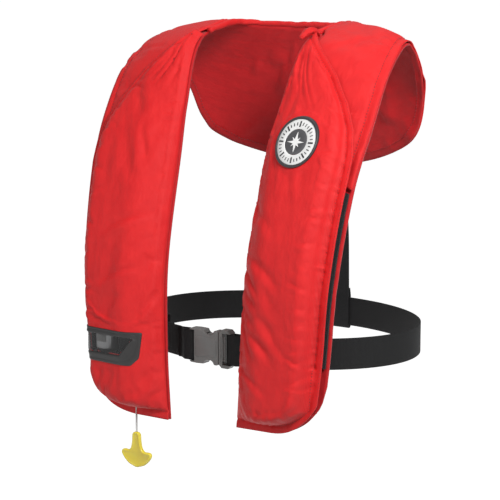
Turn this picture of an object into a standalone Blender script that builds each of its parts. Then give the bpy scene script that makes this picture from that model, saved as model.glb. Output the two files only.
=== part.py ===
"""Inflatable life jacket: a horse-collar cover worn round the neck, with its folded
bladder, manual gas inflator, oral inflation tube, webbing belt and side-release buckle.

Metres, +Z up. +X is the wearer's left, -Y is the wearer's front. The origin is the middle
of the neck opening, at the height where the collar lies on the shoulders.

The collar is one long strip. Its inner edge runs round the neck and its outer edge hangs
over chest, shoulders and back. A place on it is given by s, the station along the strip,
w, from 0 at the inner edge to 1 at the outer edge, and h, the height off the body.
"""
import bpy
import bmesh
from math import cos, pi, radians, sin
import numpy as np
from mathutils import Matrix, Vector

# ---------------------------------------------------------------- driving dimensions
TOUCH_GAP = 0.0003            # between hard pieces that touch on the real jacket
LAYER_GAP = 0.0012            # between layers of fabric that lie on each other
SHEET = 0.002                 # outer fabric with its lining
PANEL = 0.003                 # body-side panel with its spacer mesh
HEM = 0.010                   # flat turned hem outside the stitch line
MOUTH = 0.011                 # how far the cover's free edge stands off the body side
LOBE_DEPTH = 0.041            # from the body side to the cover's face, over the cylinder
LOBE_CORNER = 0.060           # height of the rounded lower outer corner of a lobe
CORNER_START = 0.42           # w where that corner begins

ROLL_RADIUS = 0.0040          # rolled neck edge
ROLL_CLEAR = ROLL_RADIUS + LAYER_GAP

WEBBING_WIDTH = 0.0374
WEBBING_THICK = 0.0016
WAIST = -0.363                # height of the belt's centre line
BELT_A = 0.1826               # half width of the belt's oval
BELT_B = 0.1374               # half depth of the belt's oval

CYLINDER_RADIUS = 0.0145      # 33 g gas cylinder
CYLINDER_LENGTH = 0.115
CYLINDER_X = -0.131
CYLINDER_Y = -0.1800
INFLATOR_TOP = -0.378
INFLATOR_HEIGHT = 0.028

ORAL_X = 0.132
ORAL_Y = -0.1765
ORAL_FOOT = -0.385
ORAL_TUBE_RADIUS = 0.0065
ORAL_TUBE_LENGTH = 0.110

BUCKLE_Y = -0.139
CORD_X = -0.098
CORD_RADIUS = 0.0012
VISIBLE_CORD = 0.022          # between the hem and the tab
TAB_WIDTH = 0.046
TAB_HEIGHT = 0.045
TAB_THICK = 0.005

# Stations of the collar strip, from the foot of the left lobe up over the shoulder to the
# nape: the inner edge, the outer edge, and how far the strip arches between them.
STATIONS = (
    ((0.049, -0.164, -0.452), (0.158, -0.162, -0.452), 0.000),   # foot of the lobe
    ((0.054, -0.163, -0.365), (0.168, -0.158, -0.363), 0.000),   # waist
    ((0.058, -0.155, -0.262), (0.177, -0.157, -0.268), 0.000),   # lower chest
    ((0.062, -0.122, -0.137), (0.184, -0.134, -0.165), 0.002),   # upper chest
    ((0.067, -0.102, -0.080), (0.189, -0.101, -0.095), 0.003),   # collarbone
    ((0.0745, -0.067, -0.012), (0.186, -0.060, -0.038), 0.003),  # front of the shoulder
    ((0.079, -0.006, 0.008), (0.177, 0.000, -0.010), 0.002),     # top of the shoulder
    ((0.072, 0.034, 0.011), (0.172, 0.041, -0.068), 0.005),      # back of the shoulder
    ((0.042, 0.047, 0.011), (0.137, 0.062, -0.134), 0.008),      # side of the nape
    ((0.000, 0.050, 0.010), (0.000, 0.104, -0.168), 0.010),      # nape
)
NAPE = len(STATIONS) - 1
FLAP_TIP = 5.25               # station where the cover's flap ends in a point
ROLL_START = 5.45             # station where the rolled neck edge begins
YOKE_START = 3.0              # station where the shoulder cover begins, under the flap
PANEL_END = 6.0               # station of the seam between lobe panel and yoke lining
SEAM = 0.02                   # half of that seam's width, in stations

COLOURS = {
    "red_fabric": (0.72, 0.03, 0.035, 0.55, 0.0),
    "red_lining": (0.55, 0.015, 0.025, 0.65, 0.0),
    "bladder_fabric": (0.85, 0.70, 0.06, 0.5, 0.0),
    "black_webbing": (0.02, 0.021, 0.022, 0.75, 0.0),
    "hook_tape": (0.012, 0.012, 0.013, 0.9, 0.0),
    "grey_acetal": (0.10, 0.10, 0.098, 0.42, 0.0),
    "black_plastic": (0.03, 0.03, 0.03, 0.45, 0.0),
    "badge_rubber": (0.035, 0.035, 0.037, 0.6, 0.0),
    "badge_print": (0.80, 0.80, 0.79, 0.5, 0.0),
    "clear_window": (0.06, 0.06, 0.06, 0.08, 0.0),
    "zinc_steel": (0.58, 0.60, 0.61, 0.3, 1.0),
    "pin_steel": (0.70, 0.70, 0.70, 0.25, 1.0),
    "seal_rubber": (0.03, 0.03, 0.03, 0.7, 0.0),
    "oral_red": (0.60, 0.03, 0.03, 0.4, 0.0),
    "white_cord": (0.80, 0.80, 0.78, 0.8, 0.0),
    "yellow_plastic": (0.82, 0.68, 0.04, 0.35, 0.0),
}


# ---------------------------------------------------------------- scene and mesh helpers
def clear_scene():
    for item in list(bpy.data.objects):
        bpy.data.objects.remove(item, do_unlink=True)


def material(slot):
    found = bpy.data.materials.get(slot)
    if found:
        return found
    red, green, blue, roughness, metallic = COLOURS[slot]
    made = bpy.data.materials.new(slot)
    made.use_nodes = True
    shader = made.node_tree.nodes["Principled BSDF"]
    shader.inputs["Base Color"].default_value = (red, green, blue, 1.0)
    shader.inputs["Roughness"].default_value = roughness
    shader.inputs["Metallic"].default_value = metallic
    return made


def add_object(name, bm, slot, location=(0.0, 0.0, 0.0), sharp=40.0):
    """Turns a bmesh into a named object; its mesh is given relative to location."""
    bmesh.ops.recalc_face_normals(bm, faces=bm.faces)
    mesh = bpy.data.meshes.new(name)
    bm.to_mesh(mesh)
    bm.free()
    mesh.shade_smooth()
    mesh.set_sharp_from_angle(angle=radians(sharp))
    mesh.materials.append(material(slot))
    made = bpy.data.objects.new(name, mesh)
    made.location = location
    bpy.context.collection.objects.link(made)
    return made


def as_cutter(made):
    made.hide_render = True
    made.display_type = 'WIRE'
    return made


def cut(target, cutter):
    step = target.modifiers.new("cut", 'BOOLEAN')
    step.operation = 'DIFFERENCE'
    step.solver = 'EXACT'
    step.object = as_cutter(cutter)


def join_to(target, addition):
    step = target.modifiers.new("join", 'BOOLEAN')
    step.operation = 'UNION'
    step.solver = 'EXACT'
    step.object = as_cutter(addition)


def bevel(target, width, segments=2):
    step = target.modifiers.new("bevel", 'BEVEL')
    step.width = width
    step.segments = segments
    step.limit_method = 'ANGLE'
    step.angle_limit = radians(50)


def grid_solid(top, bottom):
    """A closed solid between two grids of points with the same layout."""
    bm = bmesh.new()
    rows, columns = len(top), len(top[0])
    upper = [[bm.verts.new(point) for point in row] for row in top]
    lower = [[bm.verts.new(point) for point in row] for row in bottom]
    for i in range(rows - 1):
        for j in range(columns - 1):
            bm.faces.new((upper[i][j], upper[i + 1][j], upper[i + 1][j + 1], upper[i][j + 1]))
            bm.faces.new((lower[i][j], lower[i][j + 1], lower[i + 1][j + 1], lower[i + 1][j]))
    edge = [(i, 0) for i in range(rows)] + [(rows - 1, j) for j in range(1, columns)]
    edge += [(i, columns - 1) for i in range(rows - 2, -1, -1)]
    edge += [(0, j) for j in range(columns - 2, 0, -1)]
    for (a, b), (c, d) in zip(edge, edge[1:] + edge[:1]):
        bm.faces.new((upper[a][b], lower[a][b], lower[c][d], upper[c][d]))
    return bm


def loop_solid(loops, caps=False):
    """Skins loops of points with equal counts, closed into a ring or capped at both ends."""
    bm = bmesh.new()
    rings = [[bm.verts.new(point) for point in loop] for loop in loops]
    count = len(rings[0])
    pairs = list(zip(rings, rings[1:]))
    if not caps:
        pairs.append((rings[-1], rings[0]))
    steps = range(count)
    for one, two in pairs:
        for j in steps:
            k = (j + 1) % count
            bm.faces.new((one[j], one[k], two[k], two[j]))
    if caps:
        bm.faces.new(rings[0])
        bm.faces.new(list(reversed(rings[-1])))
    return bm


def turned(profile, segments=24, closed=False):
    """A solid turned about Z. profile holds (radius, height); closed makes a hollow ring."""
    angles = [2 * pi * k / segments for k in range(segments)]
    loops = [[(r * cos(a), r * sin(a), z) for a in angles] for r, z in profile]
    return loop_solid(loops, caps=not closed)


def prism(outline, low, high):
    """An outline of (x, z) points extruded along Y from low to high."""
    loops = [[(x, y, z) for x, z in outline] for y in (low, high)]
    return loop_solid(loops, caps=True)


def box(low, high):
    bm = bmesh.new()
    bmesh.ops.create_cube(bm, size=1.0)
    size = [b - a for a, b in zip(low, high)]
    middle = [(a + b) / 2 for a, b in zip(low, high)]
    bm.transform(Matrix.Translation(middle) @ Matrix.Diagonal((*size, 1.0)))
    return bm


def ribbon(path, across, width, thick, closed=False):
    """Webbing along a path of points that lie in the plane square to across."""
    points = [Vector(p) for p in path]
    across = Vector(across)
    count = len(points)
    loops = []
    for k, point in enumerate(points):
        after = points[(k + 1) % count] if closed else points[min(k + 1, count - 1)]
        before = points[k - 1] if closed or k else points[0]
        normal = (after - before).cross(across).normalized()
        side = across * (width / 2)
        lift = normal * (thick / 2)
        loops.append([point - side - lift, point + side - lift,
                      point + side + lift, point - side + lift])
    return loop_solid(loops, caps=not closed)


def smooth_path(points, count):
    """Evenly indexed points on a smooth curve through the given ones."""
    fixed = [Vector(p) for p in points]
    padded = [2 * fixed[0] - fixed[1]] + fixed + [2 * fixed[-1] - fixed[-2]]
    made = []
    for k in range(count):
        place = k * (len(fixed) - 1) / (count - 1)
        i = min(int(place), len(fixed) - 2)
        made.append(spline(padded[i:i + 4], place - i))
    return made


def spline(four, t):
    """Catmull-Rom curve between the middle two of four values."""
    a, b, c, d = four
    return 0.5 * (2 * b + (c - a) * t + (2 * a - 5 * b + 4 * c - d) * t * t
                  + (3 * b - a - 3 * c + d) * t * t * t)


# ---------------------------------------------------------------- the collar's shape
def station_values():
    """All stations as rows of inner x y z, outer x y z, arch, left lobe to right lobe."""
    half = [list(inner) + list(outer) + [arch] for inner, outer, arch in STATIONS]
    other = [[-a, b, c, -d, e, f, g] for a, b, c, d, e, f, g in reversed(half[:-1])]
    return np.array(half + other)


COLLAR = station_values()
COLLAR_END = 2 * NAPE


def collar_row(s):
    place = min(max(s, 0.0), COLLAR_END - 1e-9)
    i = int(place)
    last = len(COLLAR) - 1
    before = COLLAR[i - 1] if i else 2 * COLLAR[0] - COLLAR[1]
    after = COLLAR[i + 2] if i + 2 <= last else 2 * COLLAR[last] - COLLAR[last - 1]
    return spline((before, COLLAR[i], COLLAR[i + 1], after), place - i)


def base_point(s, w):
    row = collar_row(s)
    return row[0:3] * (1 - w) + row[3:6] * w


def outward(s, w):
    step = 0.02
    along = base_point(s + step, w) - base_point(s - step, w)
    across = base_point(s, 1.0) - base_point(s, 0.0)
    normal = np.cross(across, along)
    return normal / np.linalg.norm(normal)


def collar_point(s, w, h):
    arch = collar_row(s)[6] * sin(pi * min(max(w, 0.0), 1.0))
    return base_point(s, w) + outward(s, w) * (h + arch)


def strip_width(s):
    row = collar_row(s)
    return float(np.linalg.norm(row[3:6] - row[0:3]))


def lobe_station(s):
    """The station counted from the foot of whichever lobe s lies in."""
    return min(s, COLLAR_END - s)


def foot_station(w):
    """Where the lobe ends at w: straight along the foot, then round the outer corner."""
    t = min(max((w - CORNER_START) / (1 - CORNER_START), 0.0), 1.0)
    rise = LOBE_CORNER * (1 - (1 - t * t) ** 0.5)
    return rise / (STATIONS[1][0][2] - STATIONS[0][0][2])


def foot_distance(s, w):
    u = lobe_station(s)
    return max(base_point(u, w)[2] - base_point(foot_station(w), w)[2], 0.0)


def ramp(value, start, end):
    t = min(max((value - start) / (end - start), 0.0), 1.0)
    return t * t * (3 - 2 * t)


def round_over(distance, radius):
    """A quarter-round: 0 at an edge, 1 from radius inwards."""
    t = min(max(distance / radius, 0.0), 1.0)
    return (1 - (1 - t) ** 2) ** 0.5


def swell(distance, radius):
    """A soft rise from a folded edge: 0 at the edge, 1 from radius inwards."""
    return sin(pi / 2 * min(max(distance / radius, 0.0), 1.0))


# ---------------------------------------------------------------- the cover's bulge
INNER_ROUND = 0.045
OUTER_ROUND = 0.016
FOOT_ROUND = 0.028


def flap_edge(s):
    """w of the cover's free edge: near the outer edge, then sweeping in to the tip."""
    u = lobe_station(s)
    values = ((0.0, 0.97), (3.1, 0.97), (3.4, 0.95), (3.8, 0.875), (4.2, 0.74),
              (4.6, 0.535), (5.0, 0.21), (5.25, 0.06))
    return float(np.interp(u, [a for a, _ in values], [b for _, b in values]))


def lobe_depth(s):
    u = lobe_station(s)
    values = ((0.0, 1.0), (2.3, 1.0), (3.0, 0.84), (4.0, 0.60), (5.0, 0.44), (5.25, 0.40))
    return LOBE_DEPTH * float(np.interp(u, [a for a, _ in values], [b for _, b in values]))


def cover_height(s, w, inset):
    """Height of the cover's outside, or of its inside when inset is the fabric."""
    u = lobe_station(s)
    width = strip_width(s)
    in_edge = w * width - inset
    out_edge = (flap_edge(s) - w) * width - HEM - inset
    foot = foot_distance(s, w) - HEM - inset
    closed_edge = PANEL + LAYER_GAP + SHEET
    open_edge = MOUTH + SHEET
    opening = ramp(w * width, 0.0, 0.008) * max(ramp(u, 0.35, 0.9), ramp(w, 0.45, 0.8))
    edge = closed_edge + (open_edge - closed_edge) * opening
    rise = (swell(in_edge, INNER_ROUND) * round_over(out_edge, OUTER_ROUND)
            * round_over(foot, FOOT_ROUND))
    height = edge + (lobe_depth(s) - edge) * rise - inset
    return max(height, PANEL + LAYER_GAP)


def cover_point_at(x, z, lift):
    """The point lift above the cover's face that has this x and z."""
    mirrored = x < 0
    s, w = 2.0, 0.5
    goal = np.array([abs(x), z])
    for _ in range(12):
        here = collar_point(s, w, cover_height(s, w, 0.0) + lift)[[0, 2]]
        by_s = collar_point(s + 0.01, w, cover_height(s, w, 0.0) + lift)[[0, 2]]
        by_w = collar_point(s, w + 0.01, cover_height(s, w, 0.0) + lift)[[0, 2]]
        slope = np.array([by_s - here, by_w - here]).T / 0.01
        step = np.linalg.solve(slope, goal - here)
        s = min(max(s + step[0], 0.3), 5.0)
        w = min(max(w + step[1], 0.02), 0.99)
    found = collar_point(s, w, cover_height(s, w, 0.0) + lift)
    return (-found[0] if mirrored else found[0], found[1], found[2])


# ---------------------------------------------------------------- fabric parts
def roll_margin(s):
    """How far a layer stops short of the inner edge, where the rolled edge lies."""
    return ROLL_CLEAR * ramp(lobe_station(s), 5.0, 5.3)


def stations(start, end):
    """Every layer is cut at the same stations, so that layers never cross between them."""
    inside = [k / 4 for k in range(4 * COLLAR_END) if start + 0.05 < k / 4 < end - 0.05]
    return [start] + inside + [end]


def strip_grid(places, w_values, height, foot=False, margin=roll_margin):
    """Points over part of the strip; with foot, the rows below station 1 follow the foot."""
    grid = []
    for place in places:
        line = []
        for v in w_values:
            start = foot_station(v) if foot and place < 1 else 0.0
            s = start + (1 - start) * place if start else place
            w = v + (1 - v) * margin(s) / strip_width(s)
            line.append(collar_point(s, w, height(s, w)))
        grid.append(line)
    return grid


def mirrored(grid):
    return [[(-p[0], p[1], p[2]) for p in row] for row in grid]


def add_pair(name, slot, top, bottom):
    """The left piece as given and the right one as its mirror image."""
    left = add_object(name + "_left", grid_solid(top, bottom), slot)
    right = add_object(name + "_right", grid_solid(mirrored(top), mirrored(bottom)), slot)
    return left, right


def spread(low, high, count):
    return [low + (high - low) * k / (count - 1) for k in range(count)]


def body_panels():
    """The body-side panel behind each lobe."""
    across = spread(0.0, 1.0, 8)
    places = stations(0.0, PANEL_END - SEAM)
    top = strip_grid(places, across, lambda s, w: PANEL, foot=True)
    bottom = strip_grid(places, across, lambda s, w: 0.0, foot=True)
    add_pair("body_panel", "red_lining", top, bottom)


def yoke_lining():
    """The body-side panel round the neck and down the back."""
    across = spread(0.0, 1.0, 7)
    places = stations(PANEL_END + SEAM, COLLAR_END - PANEL_END - SEAM)
    top = strip_grid(places, across, lambda s, w: PANEL)
    bottom = strip_grid(places, across, lambda s, w: 0.0)
    add_object("yoke_lining", grid_solid(top, bottom), "red_lining")


def yoke_margin(s):
    """The shoulder cover keeps clear of the flap's folded edge, then of the rolled edge."""
    under_flap = 0.012
    return under_flap + (ROLL_CLEAR - under_flap) * ramp(lobe_station(s), 5.3, 5.6)


def yoke_height(s, w):
    """Underside of the shoulder cover, raised over the folded bladder."""
    width = strip_width(s)
    bulge = 0.0035 + 0.0035 * ramp(lobe_station(s), 5.3, 6.2)
    rise = round_over(w * width - yoke_margin(s), 0.030) * round_over((1 - w) * width - HEM, 0.030)
    return PANEL + LAYER_GAP + bulge * rise


def yoke_cover():
    """The outer panel over both shoulders and the back of the neck."""
    across = [0.0, 0.04, 0.10, 0.22, 0.40, 0.56, 0.70, 0.82, 0.91, 1.0]
    places = stations(YOKE_START, COLLAR_END - YOKE_START)
    top = strip_grid(places, across, lambda s, w: yoke_height(s, w) + SHEET, margin=yoke_margin)
    bottom = strip_grid(places, across, yoke_height, margin=yoke_margin)
    add_object("yoke_cover", grid_solid(top, bottom), "red_fabric")


def stitch_line(s):
    """How far across the cover its hem begins, as a share of the way to the free edge."""
    return 1 - min(HEM / (strip_width(s) * flap_edge(s)), 0.5)


def front_covers():
    """The bulging front cover of each lobe, open at its outer edge."""
    to_stitch = [0.0, 0.02, 0.055, 0.11, 0.18, 0.25, 0.32, 0.42, 0.60, 0.77, 0.85, 0.91, 0.965, 1.0]
    near_foot = [0.0, 0.06, 0.12, 0.20, 0.30, 0.44, 0.60, 0.80]
    rows = near_foot + stations(1.0, FLAP_TIP)
    grids = []
    for inset in (0.0, SHEET):
        grid = []
        for row in rows:
            line = []
            for v in [f * stitch_line(row) for f in to_stitch] + [1.0]:
                start = foot_station(v * flap_edge(0.0))
                s = start + (1 - start) * row if row < 1 else row
                w = v * flap_edge(s)
                line.append(collar_point(s, w, cover_height(s, w, inset)))
            grid.append(line)
        grids.append(grid)
    left, right = add_pair("front_cover", "red_fabric", *grids)
    window = prism(scaled(WINDOW_OPENING, 0.96), -0.215, -0.165)
    cut(right, add_object("window_cutter", window, "red_fabric"))
    hole = turned([(0.0024, -0.465), (0.0024, -0.415)], 12)
    cut(right, add_object("cord_cutter", hole, "red_fabric", (CORD_X, cord_y(), 0.0)))
    return left, right


def closure_strips():
    """Hook-and-loop tape inside the mouth of each cover."""
    across = [0.925, 0.975]
    places = stations(1.0, YOKE_START - 0.05)
    top = strip_grid(places, across, lambda s, w: PANEL + LAYER_GAP + 0.0025)
    bottom = strip_grid(places, across, lambda s, w: PANEL + LAYER_GAP)
    add_pair("closure_tape", "hook_tape", top, bottom)


def bladder():
    """The folded air chamber, one piece from foot to foot round the neck."""
    def outer_w(s):
        values = ((0.3, 0.24), (1.3, 0.26), (1.8, 0.40), (2.3, 0.46), (3.2, 0.86), (9.0, 0.86))
        return float(np.interp(lobe_station(s), [a for a, _ in values], [b for _, b in values]))

    def inner_w(s):
        values = ((0.3, 0.10), (2.3, 0.10), (2.7, 0.20), (5.3, 0.20), (6.0, 0.12), (9.0, 0.12))
        return float(np.interp(lobe_station(s), [a for a, _ in values], [b for _, b in values]))

    def thickness(s):
        values = ((0.3, 0.008), (1.0, 0.018), (2.3, 0.016), (2.7, 0.0020), (7.0, 0.0014),
                  (8.0, 0.003), (9.0, 0.003))
        return float(np.interp(lobe_station(s), [a for a, _ in values], [b for _, b in values]))

    sides = 12
    loops = []
    for s in stations(0.5, COLLAR_END - 0.5):
        low, high = inner_w(s), outer_w(s)
        loop = []
        for k in range(sides):
            a = 2 * pi * k / sides
            w = (low + high) / 2 - (high - low) / 2 * cos(a)
            middle = PANEL + 0.0012 + thickness(s) / 2
            h = middle + thickness(s) / 2 * sin(a)
            loop.append(collar_point(s, w, h))
        loops.append(loop)
    add_object("bladder", loop_solid(loops, caps=True), "bladder_fabric")


def neck_roll():
    """The rolled edge round the back and sides of the neck."""
    sides = 8
    loops = []
    for s in spread(ROLL_START, COLLAR_END - ROLL_START, 33):
        middle = Vector(collar_point(s, 0.0, 0.004))
        across = Vector(base_point(s, 1.0) - base_point(s, 0.0)).normalized()
        up = Vector(outward(s, 0.0))
        loops.append([middle + ROLL_RADIUS * (across * cos(a) + up * sin(a))
                      for a in (2 * pi * k / sides for k in range(sides))])
    add_object("neck_roll", loop_solid(loops, caps=True), "red_fabric")


# ---------------------------------------------------------------- badge and status window
WINDOW_OUTLINE = ((-0.160, -0.3430), (-0.072, -0.3450), (-0.0745, -0.3760),
                  (-0.0830, -0.3850), (-0.1585, -0.3835))
WINDOW_OPENING = ((-0.155, -0.3505), (-0.081, -0.3520), (-0.097, -0.3730), (-0.152, -0.3730))
BADGE_X = 0.117
BADGE_Z = -0.112
BADGE_RADIUS = 0.028
BADGE_RIM = 0.0032


def scaled(outline, factor):
    middle_x = sum(x for x, _ in outline) / len(outline)
    middle_z = sum(z for _, z in outline) / len(outline)
    return [(middle_x + (x - middle_x) * factor, middle_z + (z - middle_z) * factor)
            for x, z in outline]


def resampled(outline, count):
    """count points spread evenly by length round a closed outline."""
    corners = list(outline) + [outline[0]]
    lengths = [0.0]
    for (x1, z1), (x2, z2) in zip(corners, corners[1:]):
        lengths.append(lengths[-1] + ((x2 - x1) ** 2 + (z2 - z1) ** 2) ** 0.5)
    places = [lengths[-1] * k / count for k in range(count)]
    xs = np.interp(places, lengths, [x for x, _ in corners])
    zs = np.interp(places, lengths, [z for _, z in corners])
    return [(float(x), float(z)) for x, z in zip(xs, zs)]


def circle(radius, count):
    return [(BADGE_X + radius * cos(2 * pi * k / count), BADGE_Z + radius * sin(2 * pi * k / count))
            for k in range(count)]


def along_face(outline, count):
    """count points of a closed outline, spread evenly by their distance over the face."""
    dense = resampled(outline, 240)
    dense.append(dense[0])
    spots = [Vector(cover_point_at(x, z, 0.0)) for x, z in dense]
    lengths = [0.0]
    for one, two in zip(spots, spots[1:]):
        lengths.append(lengths[-1] + (two - one).length)
    places = [lengths[-1] * k / count for k in range(count)]
    xs = np.interp(places, lengths, [x for x, _ in dense])
    zs = np.interp(places, lengths, [z for _, z in dense])
    return [(float(x), float(z)) for x, z in zip(xs, zs)]


def face_ring(outer, inner, low, high, steps):
    """A ring that follows the cover's face between two outlines of equal count."""
    loops = []
    for lift, order in ((low, range(steps + 1)), (high, range(steps, -1, -1))):
        for k in order:
            f = k / steps
            loops.append([cover_point_at(a + (c - a) * f, b + (d - b) * f, lift)
                          for (a, b), (c, d) in zip(outer, inner)])
    return loop_solid(loops)


def face_plate(outline, low, high):
    """A plate that follows the cover's face inside an outline."""
    shrink = (1.0, 0.66, 0.33, 0.02)
    loops = []
    for lift, order in ((low, reversed(shrink)), (high, shrink)):
        loops += [[cover_point_at(x, z, lift) for x, z in scaled(outline, f)] for f in order]
    return loop_solid(loops, caps=True)


def status_window():
    outer = along_face(WINDOW_OUTLINE, 60)
    inner = along_face(WINDOW_OPENING, 60)
    add_object("window_frame", face_ring(outer, inner, 0.0024, 0.0044, 4), "black_plastic")
    pane = scaled(inner[::2], 0.955)
    add_object("window_lens", face_plate(pane, 0.0026, 0.0036), "clear_window")


def badge():
    rim = circle(BADGE_RADIUS, 32)
    bed = circle(BADGE_RADIUS - BADGE_RIM, 32)
    face = circle(BADGE_RADIUS - BADGE_RIM - TOUCH_GAP, 32)
    add_object("badge_rim", face_ring(rim, bed, 0.0012, 0.0038, 1), "badge_rubber")
    add_object("badge_face", face_plate(face, 0.0013, 0.0030), "badge_print")


# ---------------------------------------------------------------- belt and back strap
def oval(angle, grow=0.0):
    """A point on the belt's oval; angle 0 is the wearer's left, 90 degrees the back."""
    return ((BELT_A + grow) * cos(angle), (BELT_B + grow) * sin(angle), WAIST)


def front_angle(x):
    """The oval's angle, on the front half, where it reaches x."""
    return -float(np.arccos(x / BELT_A))


UP = (0.0, 0.0, 1.0)
LAP_START = 0.072             # |x| where the body belt ends behind each front strap
LAP_END = 0.102               # |x| where a front strap ends on the body belt
LAP_GAP = 0.0008
BAR_CORNER = 0.0030           # from a bar's centre to its corner


def body_belt():
    """The belt round the back, from behind one lobe to behind the other."""
    start, end = front_angle(LAP_START), front_angle(-LAP_START) + 2 * pi
    path = [oval(a) for a in spread(start, end, 57)]
    add_object("body_belt", ribbon(path, UP, WEBBING_WIDTH, WEBBING_THICK), "black_webbing")


def front_strap(name, side, bar_x):
    """A short strap: it laps the body belt, goes round the buckle's bar and back."""
    lift = WEBBING_THICK + LAP_GAP
    wrap = BAR_CORNER + TOUCH_GAP + WEBBING_THICK / 2
    straight = bar_x + side * 0.010
    path = [oval(front_angle(side * x), lift) for x in spread(LAP_END, abs(straight) + 0.012, 9)]
    path.append((straight, BUCKLE_Y - wrap, WAIST))
    for k in range(9):
        a = pi * k / 8
        path.append((bar_x - side * wrap * sin(a), BUCKLE_Y - wrap * cos(a), WAIST))
    path.append((straight, BUCKLE_Y + wrap, WAIST))
    path.append((bar_x + side * 0.024, BUCKLE_Y + wrap - 0.0008, WAIST))
    add_object(name, ribbon(path, UP, WEBBING_WIDTH, WEBBING_THICK), "black_webbing")


def keepers():
    """A webbing loop on the back of each lobe that the belt runs through."""
    width = 0.025
    half = WEBBING_WIDTH / 2 + 0.004
    round_by = 0.003
    for name, side in (("belt_keeper_left", 1), ("belt_keeper_right", -1)):
        x = side * 0.112
        front = base_point(1.0, 0.47)[1] + 0.0025
        back = oval(front_angle(abs(x)))[1] + 0.012
        corners = ((front, half), (back, half), (back, -half), (front, -half))
        path = []
        for k, (y, z) in enumerate(corners):
            for neighbour in (corners[k - 1], corners[(k + 1) % 4]):
                step = Vector((neighbour[0] - y, neighbour[1] - z)).normalized() * round_by
                path.append((x, y + step.x, WAIST + z + step.y))
        loop = ribbon(path, (1.0, 0.0, 0.0), width, WEBBING_THICK, closed=True)
        add_object(name, loop, "black_webbing")


def back_strap():
    """The strap from the yoke's back down to the belt, with a loop round the belt."""
    belt_y = BELT_B
    clear = WEBBING_THICK + 0.0008
    half = WEBBING_WIDTH / 2
    stand_off = SHEET + WEBBING_THICK + 0.0014
    patch = [collar_point(NAPE, w, yoke_height(NAPE, w) + stand_off) for w in (0.76, 0.88, 1.0)]
    path = smooth_path([(0, p[1], p[2]) for p in patch]
                       + [(0, 0.1270, -0.215), (0, 0.1330, -0.260), (0, belt_y - clear, -0.325)], 16)
    path += [Vector((0, belt_y - clear, WAIST + half * f)) for f in (1.0, 0.3, -0.4, -1.0)]
    low = WAIST - half - 0.0008
    for k in range(7):
        a = pi * k / 6
        path.append(Vector((0, belt_y - clear * cos(a), low - clear * sin(a))))
    path += [Vector((0, belt_y + clear, WAIST + half * f)) for f in (-0.8, 0.0, 0.8, 1.1)]
    path.append(Vector((0, belt_y + 0.0006, WAIST + half + 0.012)))
    strap = ribbon(path, (1.0, 0.0, 0.0), WEBBING_WIDTH, WEBBING_THICK)
    add_object("back_strap", strap, "black_webbing")


# ---------------------------------------------------------------- side-release buckle
BUCKLE_JOIN = 0.006           # x where the two halves meet
FEMALE_LENGTH = 0.042
FEMALE_HALF = 0.0208          # half height
FEMALE_DEPTH = 0.0130
THROAT_HALF = 0.0168
THROAT_DEPTH = 0.0084
SLOT_HALF = 0.0190
BAR_THICK = 0.0044
FEMALE_BAR_X = -0.0340
MALE_HALF = 0.0232
MALE_LENGTH = 0.0170
MALE_BAR_X = 0.0200
LATCH_PIVOT_X = 0.0030
LATCH_PIVOT_Z = 0.0125


def notched_outline():
    """The female half seen from the front, with a finger notch above and below."""
    left, right = BUCKLE_JOIN - FEMALE_LENGTH, BUCKLE_JOIN
    notch_low, notch_high, notch_deep = -0.0150, -0.0005, 0.0055
    top = [(left, FEMALE_HALF - 0.0015), (left + 0.002, FEMALE_HALF), (left + 0.010, FEMALE_HALF + 0.0004)]
    for k in range(9):
        a = pi * k / 8
        x = notch_low + (notch_high - notch_low) * (1 - cos(a)) / 2
        top.append((x, FEMALE_HALF - notch_deep * sin(a)))
    top += [(right - 0.003, FEMALE_HALF), (right, FEMALE_HALF - 0.001)]
    bottom = [(x, -z) for x, z in reversed(top)]
    return [(x, WAIST + z) for x, z in top + bottom]


def bar_reliefs(target, bar_x, outer_x, inner_x, half_depth):
    """Cuts the webbing slot beside the bar and thins the bar in front and behind."""
    reach = 0.001
    low_z, high_z = WAIST - SLOT_HALF, WAIST + SLOT_HALF
    bar_edge = bar_x + (0.0018 if inner_x > bar_x else -0.0018)
    slot_from, slot_to = sorted((bar_edge, inner_x))
    slot = box((slot_from, BUCKLE_Y - half_depth - reach, low_z),
               (slot_to, BUCKLE_Y + half_depth + reach, high_z))
    cut(target, add_object(target.name + "_slot_cutter", slot, "grey_acetal"))
    span = sorted((outer_x, slot_from if bar_x < inner_x else slot_to))
    for side, label in ((-1, "front"), (1, "back")):
        near = BUCKLE_Y + side * BAR_THICK / 2
        far = BUCKLE_Y + side * (half_depth + reach)
        low_y, high_y = sorted((near, far))
        relief = box((span[0], low_y, low_z), (span[1], high_y, high_z))
        cut(target, add_object(target.name + "_" + label + "_cutter", relief, "grey_acetal"))


def buckle_female():
    half = FEMALE_DEPTH / 2
    shell = prism(notched_outline(), BUCKLE_Y - half, BUCKLE_Y + half)
    body = add_object("buckle_female", shell, "grey_acetal")
    bevel(body, 0.0012)
    throat = box((BUCKLE_JOIN - 0.028, BUCKLE_Y - THROAT_DEPTH / 2, WAIST - THROAT_HALF),
                 (BUCKLE_JOIN + 0.002, BUCKLE_Y + THROAT_DEPTH / 2, WAIST + THROAT_HALF))
    cut(body, add_object("throat_cutter", throat, "grey_acetal"))
    bar_reliefs(body, FEMALE_BAR_X, FEMALE_BAR_X - 0.0040, FEMALE_BAR_X + 0.0055, half)


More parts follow.
